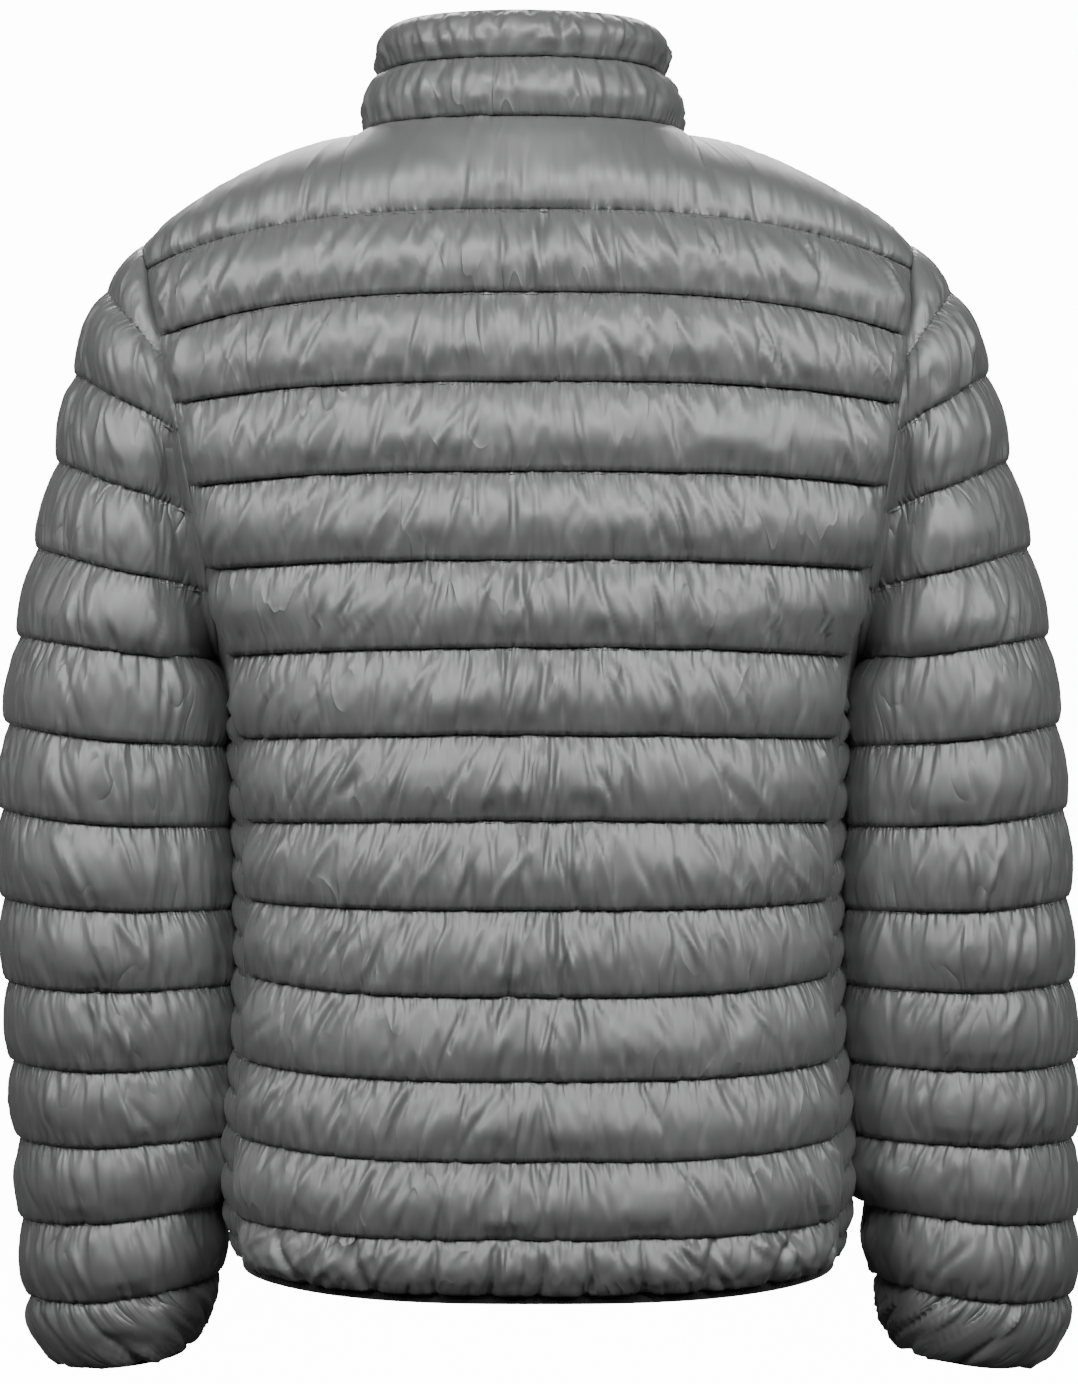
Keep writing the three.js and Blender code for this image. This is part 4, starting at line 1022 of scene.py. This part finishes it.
elastic = elastic_material("elastic_knit")
half_edge = [body_point(HEM, k / 4, -1) for k in range(4 * BODY_COLUMNS)]
half_edge += [side_point(HEM, k / 4) for k in range(4 * SIDE_COLUMNS, 0, -1)]
back_steps = range(4 * BODY_COLUMNS, -4 * BODY_COLUMNS - 1, -1)
back_edge = [Vector(back_point(HEM, k / 4)) for k in back_steps]
other_half = [Vector((-point.x, point.y, point.z)) for point in reversed(half_edge)]
hem_edge = half_edge + back_edge + other_half
hem_line = np.array([(point.x + lean_at(point.z), point.y, point.z) for point in hem_edge])
elastic_band("hem_binding", hem_line, False, elastic)
for side, sign in (("left", 1), ("right", -1)):
    cuff_edge = base_grid(lambda line, column: sleeve_point(line, column, side),
                          [CUFF], sleeve_columns, sign)[0]
    elastic_band("cuff_binding_" + side, cuff_edge, True, elastic)

# Zip
# Two woven tapes are sewn behind the front edges, each with its row of moulded teeth. The metal
# slider and its pull tab come from the frame, with their edges rounded.
TAPE_WIDTH = 15             # from the middle to a tape's outer edge
TAPE_GAP = 0.4              # from the middle to its inner edge
TAPE_THICK = 1.0
TAPE_BENT = 1.4             # how far back its outer edge is bent
TAPE_BEHIND = 0.6
TAPE_ROWS = 160
CHAIN_HALF = 3.0
CHAIN_RISE = 1.3
TOOTH = 3.0                 # from one tooth to the next
TOOTH_SHARE = 0.42          # share of that which a tooth fills
TOOTH_PAST = 1.0            # how far a tooth reaches past the middle
TOP_LEFT = 9                # left free at the top of the collar

zip_path = [body_point(line, 0, -1) for line in counted(HEM * 4, HEM, 0)]
zip_path += [collar_point(FRONT_ANGLE, line) for line in counted(8, 0, 2)[1:]]
zip_points = np.array([(0, point.y, point.z) for point in zip_path])
zip_steps = np.concatenate([[0], np.cumsum(np.linalg.norm(np.diff(zip_points, axis=0), axis=1))])
ZIP_LENGTH = zip_steps[-1] - TOP_LEFT


def zip_at(place):
    """The point of the zip at a distance from its foot, and the ways up and out of it."""
    def at(distance):
        return Vector([np.interp(distance, zip_steps, zip_points[:, axis]) for axis in range(3)])
    up = (at(place + 2) - at(place - 2)).normalized()
    return at(place), up, Vector((0, -up.z, up.y))


def tape_material(name):
    """Black woven tape: a fine twill of two directions."""
    made = Material(name, Roughness=0.8)
    place = made.node("ShaderNodeTexCoord", {}, {}, output=3)
    twill = made.node("ShaderNodeTexWave", {"bands_direction": "DIAGONAL"}, {
        "Vector": place, "Scale": 350.0, "Distortion": 1.0})
    made.feed("Base Color", made.colours(twill, (0.02, 0.02, 0.021, 1), (0.04, 0.04, 0.042, 1)))
    made.relief((twill - 0.5) * 0.0002)
    return made.material


def metal_material(name):
    """Dark plated metal, with a finish that is slightly uneven."""
    made = Material(name, Metallic=0.9)
    place = made.node("ShaderNodeTexCoord", {}, {}, output=3)
    cloudy = made.node("ShaderNodeTexNoise", {}, {"Vector": place, "Scale": 260.0, "Detail": 3.0})
    made.feed("Base Color", made.colours(cloudy, (0.055, 0.055, 0.057, 1), (0.09, 0.09, 0.093, 1)))
    made.feed("Roughness", 0.28 + cloudy * 0.16)
    return made.material


tape = tape_material("zip_tape")
metal = metal_material("zip_metal")
for side, sign in (("left", 1), ("right", -1)):
    bm = bmesh.new()
    section = [(TAPE_GAP, 0), (FRONT_EDGE, 0), (TAPE_WIDTH, -TAPE_BENT),
               (TAPE_WIDTH, -TAPE_BENT - TAPE_THICK), (FRONT_EDGE, -TAPE_THICK),
               (TAPE_GAP, -TAPE_THICK), (TAPE_GAP, 0)]
    points = np.empty((TAPE_ROWS + 1, len(section), 3))
    for i in range(TAPE_ROWS + 1):
        point, up, out = zip_at(ZIP_LENGTH * i / TAPE_ROWS)
        for k, (aside, rise) in enumerate(section):
            x, y, z = point + out * (rise - WALL - TAPE_BEHIND)
            points[i, k] = (sign * aside + lean_at(z), y, z)
    grid_faces(bm, points, (0, -1, 0))
    bmesh.ops.remove_doubles(bm, verts=bm.verts, dist=MERGE)
    bmesh.ops.holes_fill(bm, edges=[edge for edge in bm.edges if edge.is_boundary])
    bmesh.ops.recalc_face_normals(bm, faces=bm.faces)
    zip_tape = finished_object("zip_tape_" + side, bm, tape)
    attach(zip_tape, "jacket")
    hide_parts("zip_" + side)

    bm = bmesh.new()
    size = Matrix.Diagonal(
        (CHAIN_HALF + TOOTH_PAST, TOOTH * TOOTH_SHARE, CHAIN_RISE + TAPE_THICK, 1))
    bmesh.ops.create_cube(bm, size=1, matrix=size)
    bmesh.ops.bevel(bm, geom=list(bm.edges), offset=0.2, affect="EDGES", segments=1,
                    profile=0.5, material=-1)
    first = TOOTH if side == "left" else TOOTH / 2
    places = np.arange(first, ZIP_LENGTH - 2, TOOTH)
    for verts, place in zip(copies(bm, len(places)), places):
        point, up, out = zip_at(place)
        middle = point + out * (CHAIN_RISE / 2 - WALL - TAPE_BEHIND)
        middle.x = sign * (CHAIN_HALF - TOOTH_PAST) / 2 + lean_at(point.z)
        turned = Matrix((Vector((1, 0, 0)), up, out)).transposed()
        for vert in verts:
            vert.co = (turned @ vert.co + middle) * MM
    teeth = finished_object("zip_teeth_" + side, bm, metal)
    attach(teeth, "jacket")

for name in ("zip_slider", "zip_pull"):
    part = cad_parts[name]
    part.data.materials[0] = metal
    rounded = part.modifiers.new("rounded", "BEVEL")
    rounded.width = 0.0003
    rounded.segments = 2
    rounded.limit_method = "ANGLE"
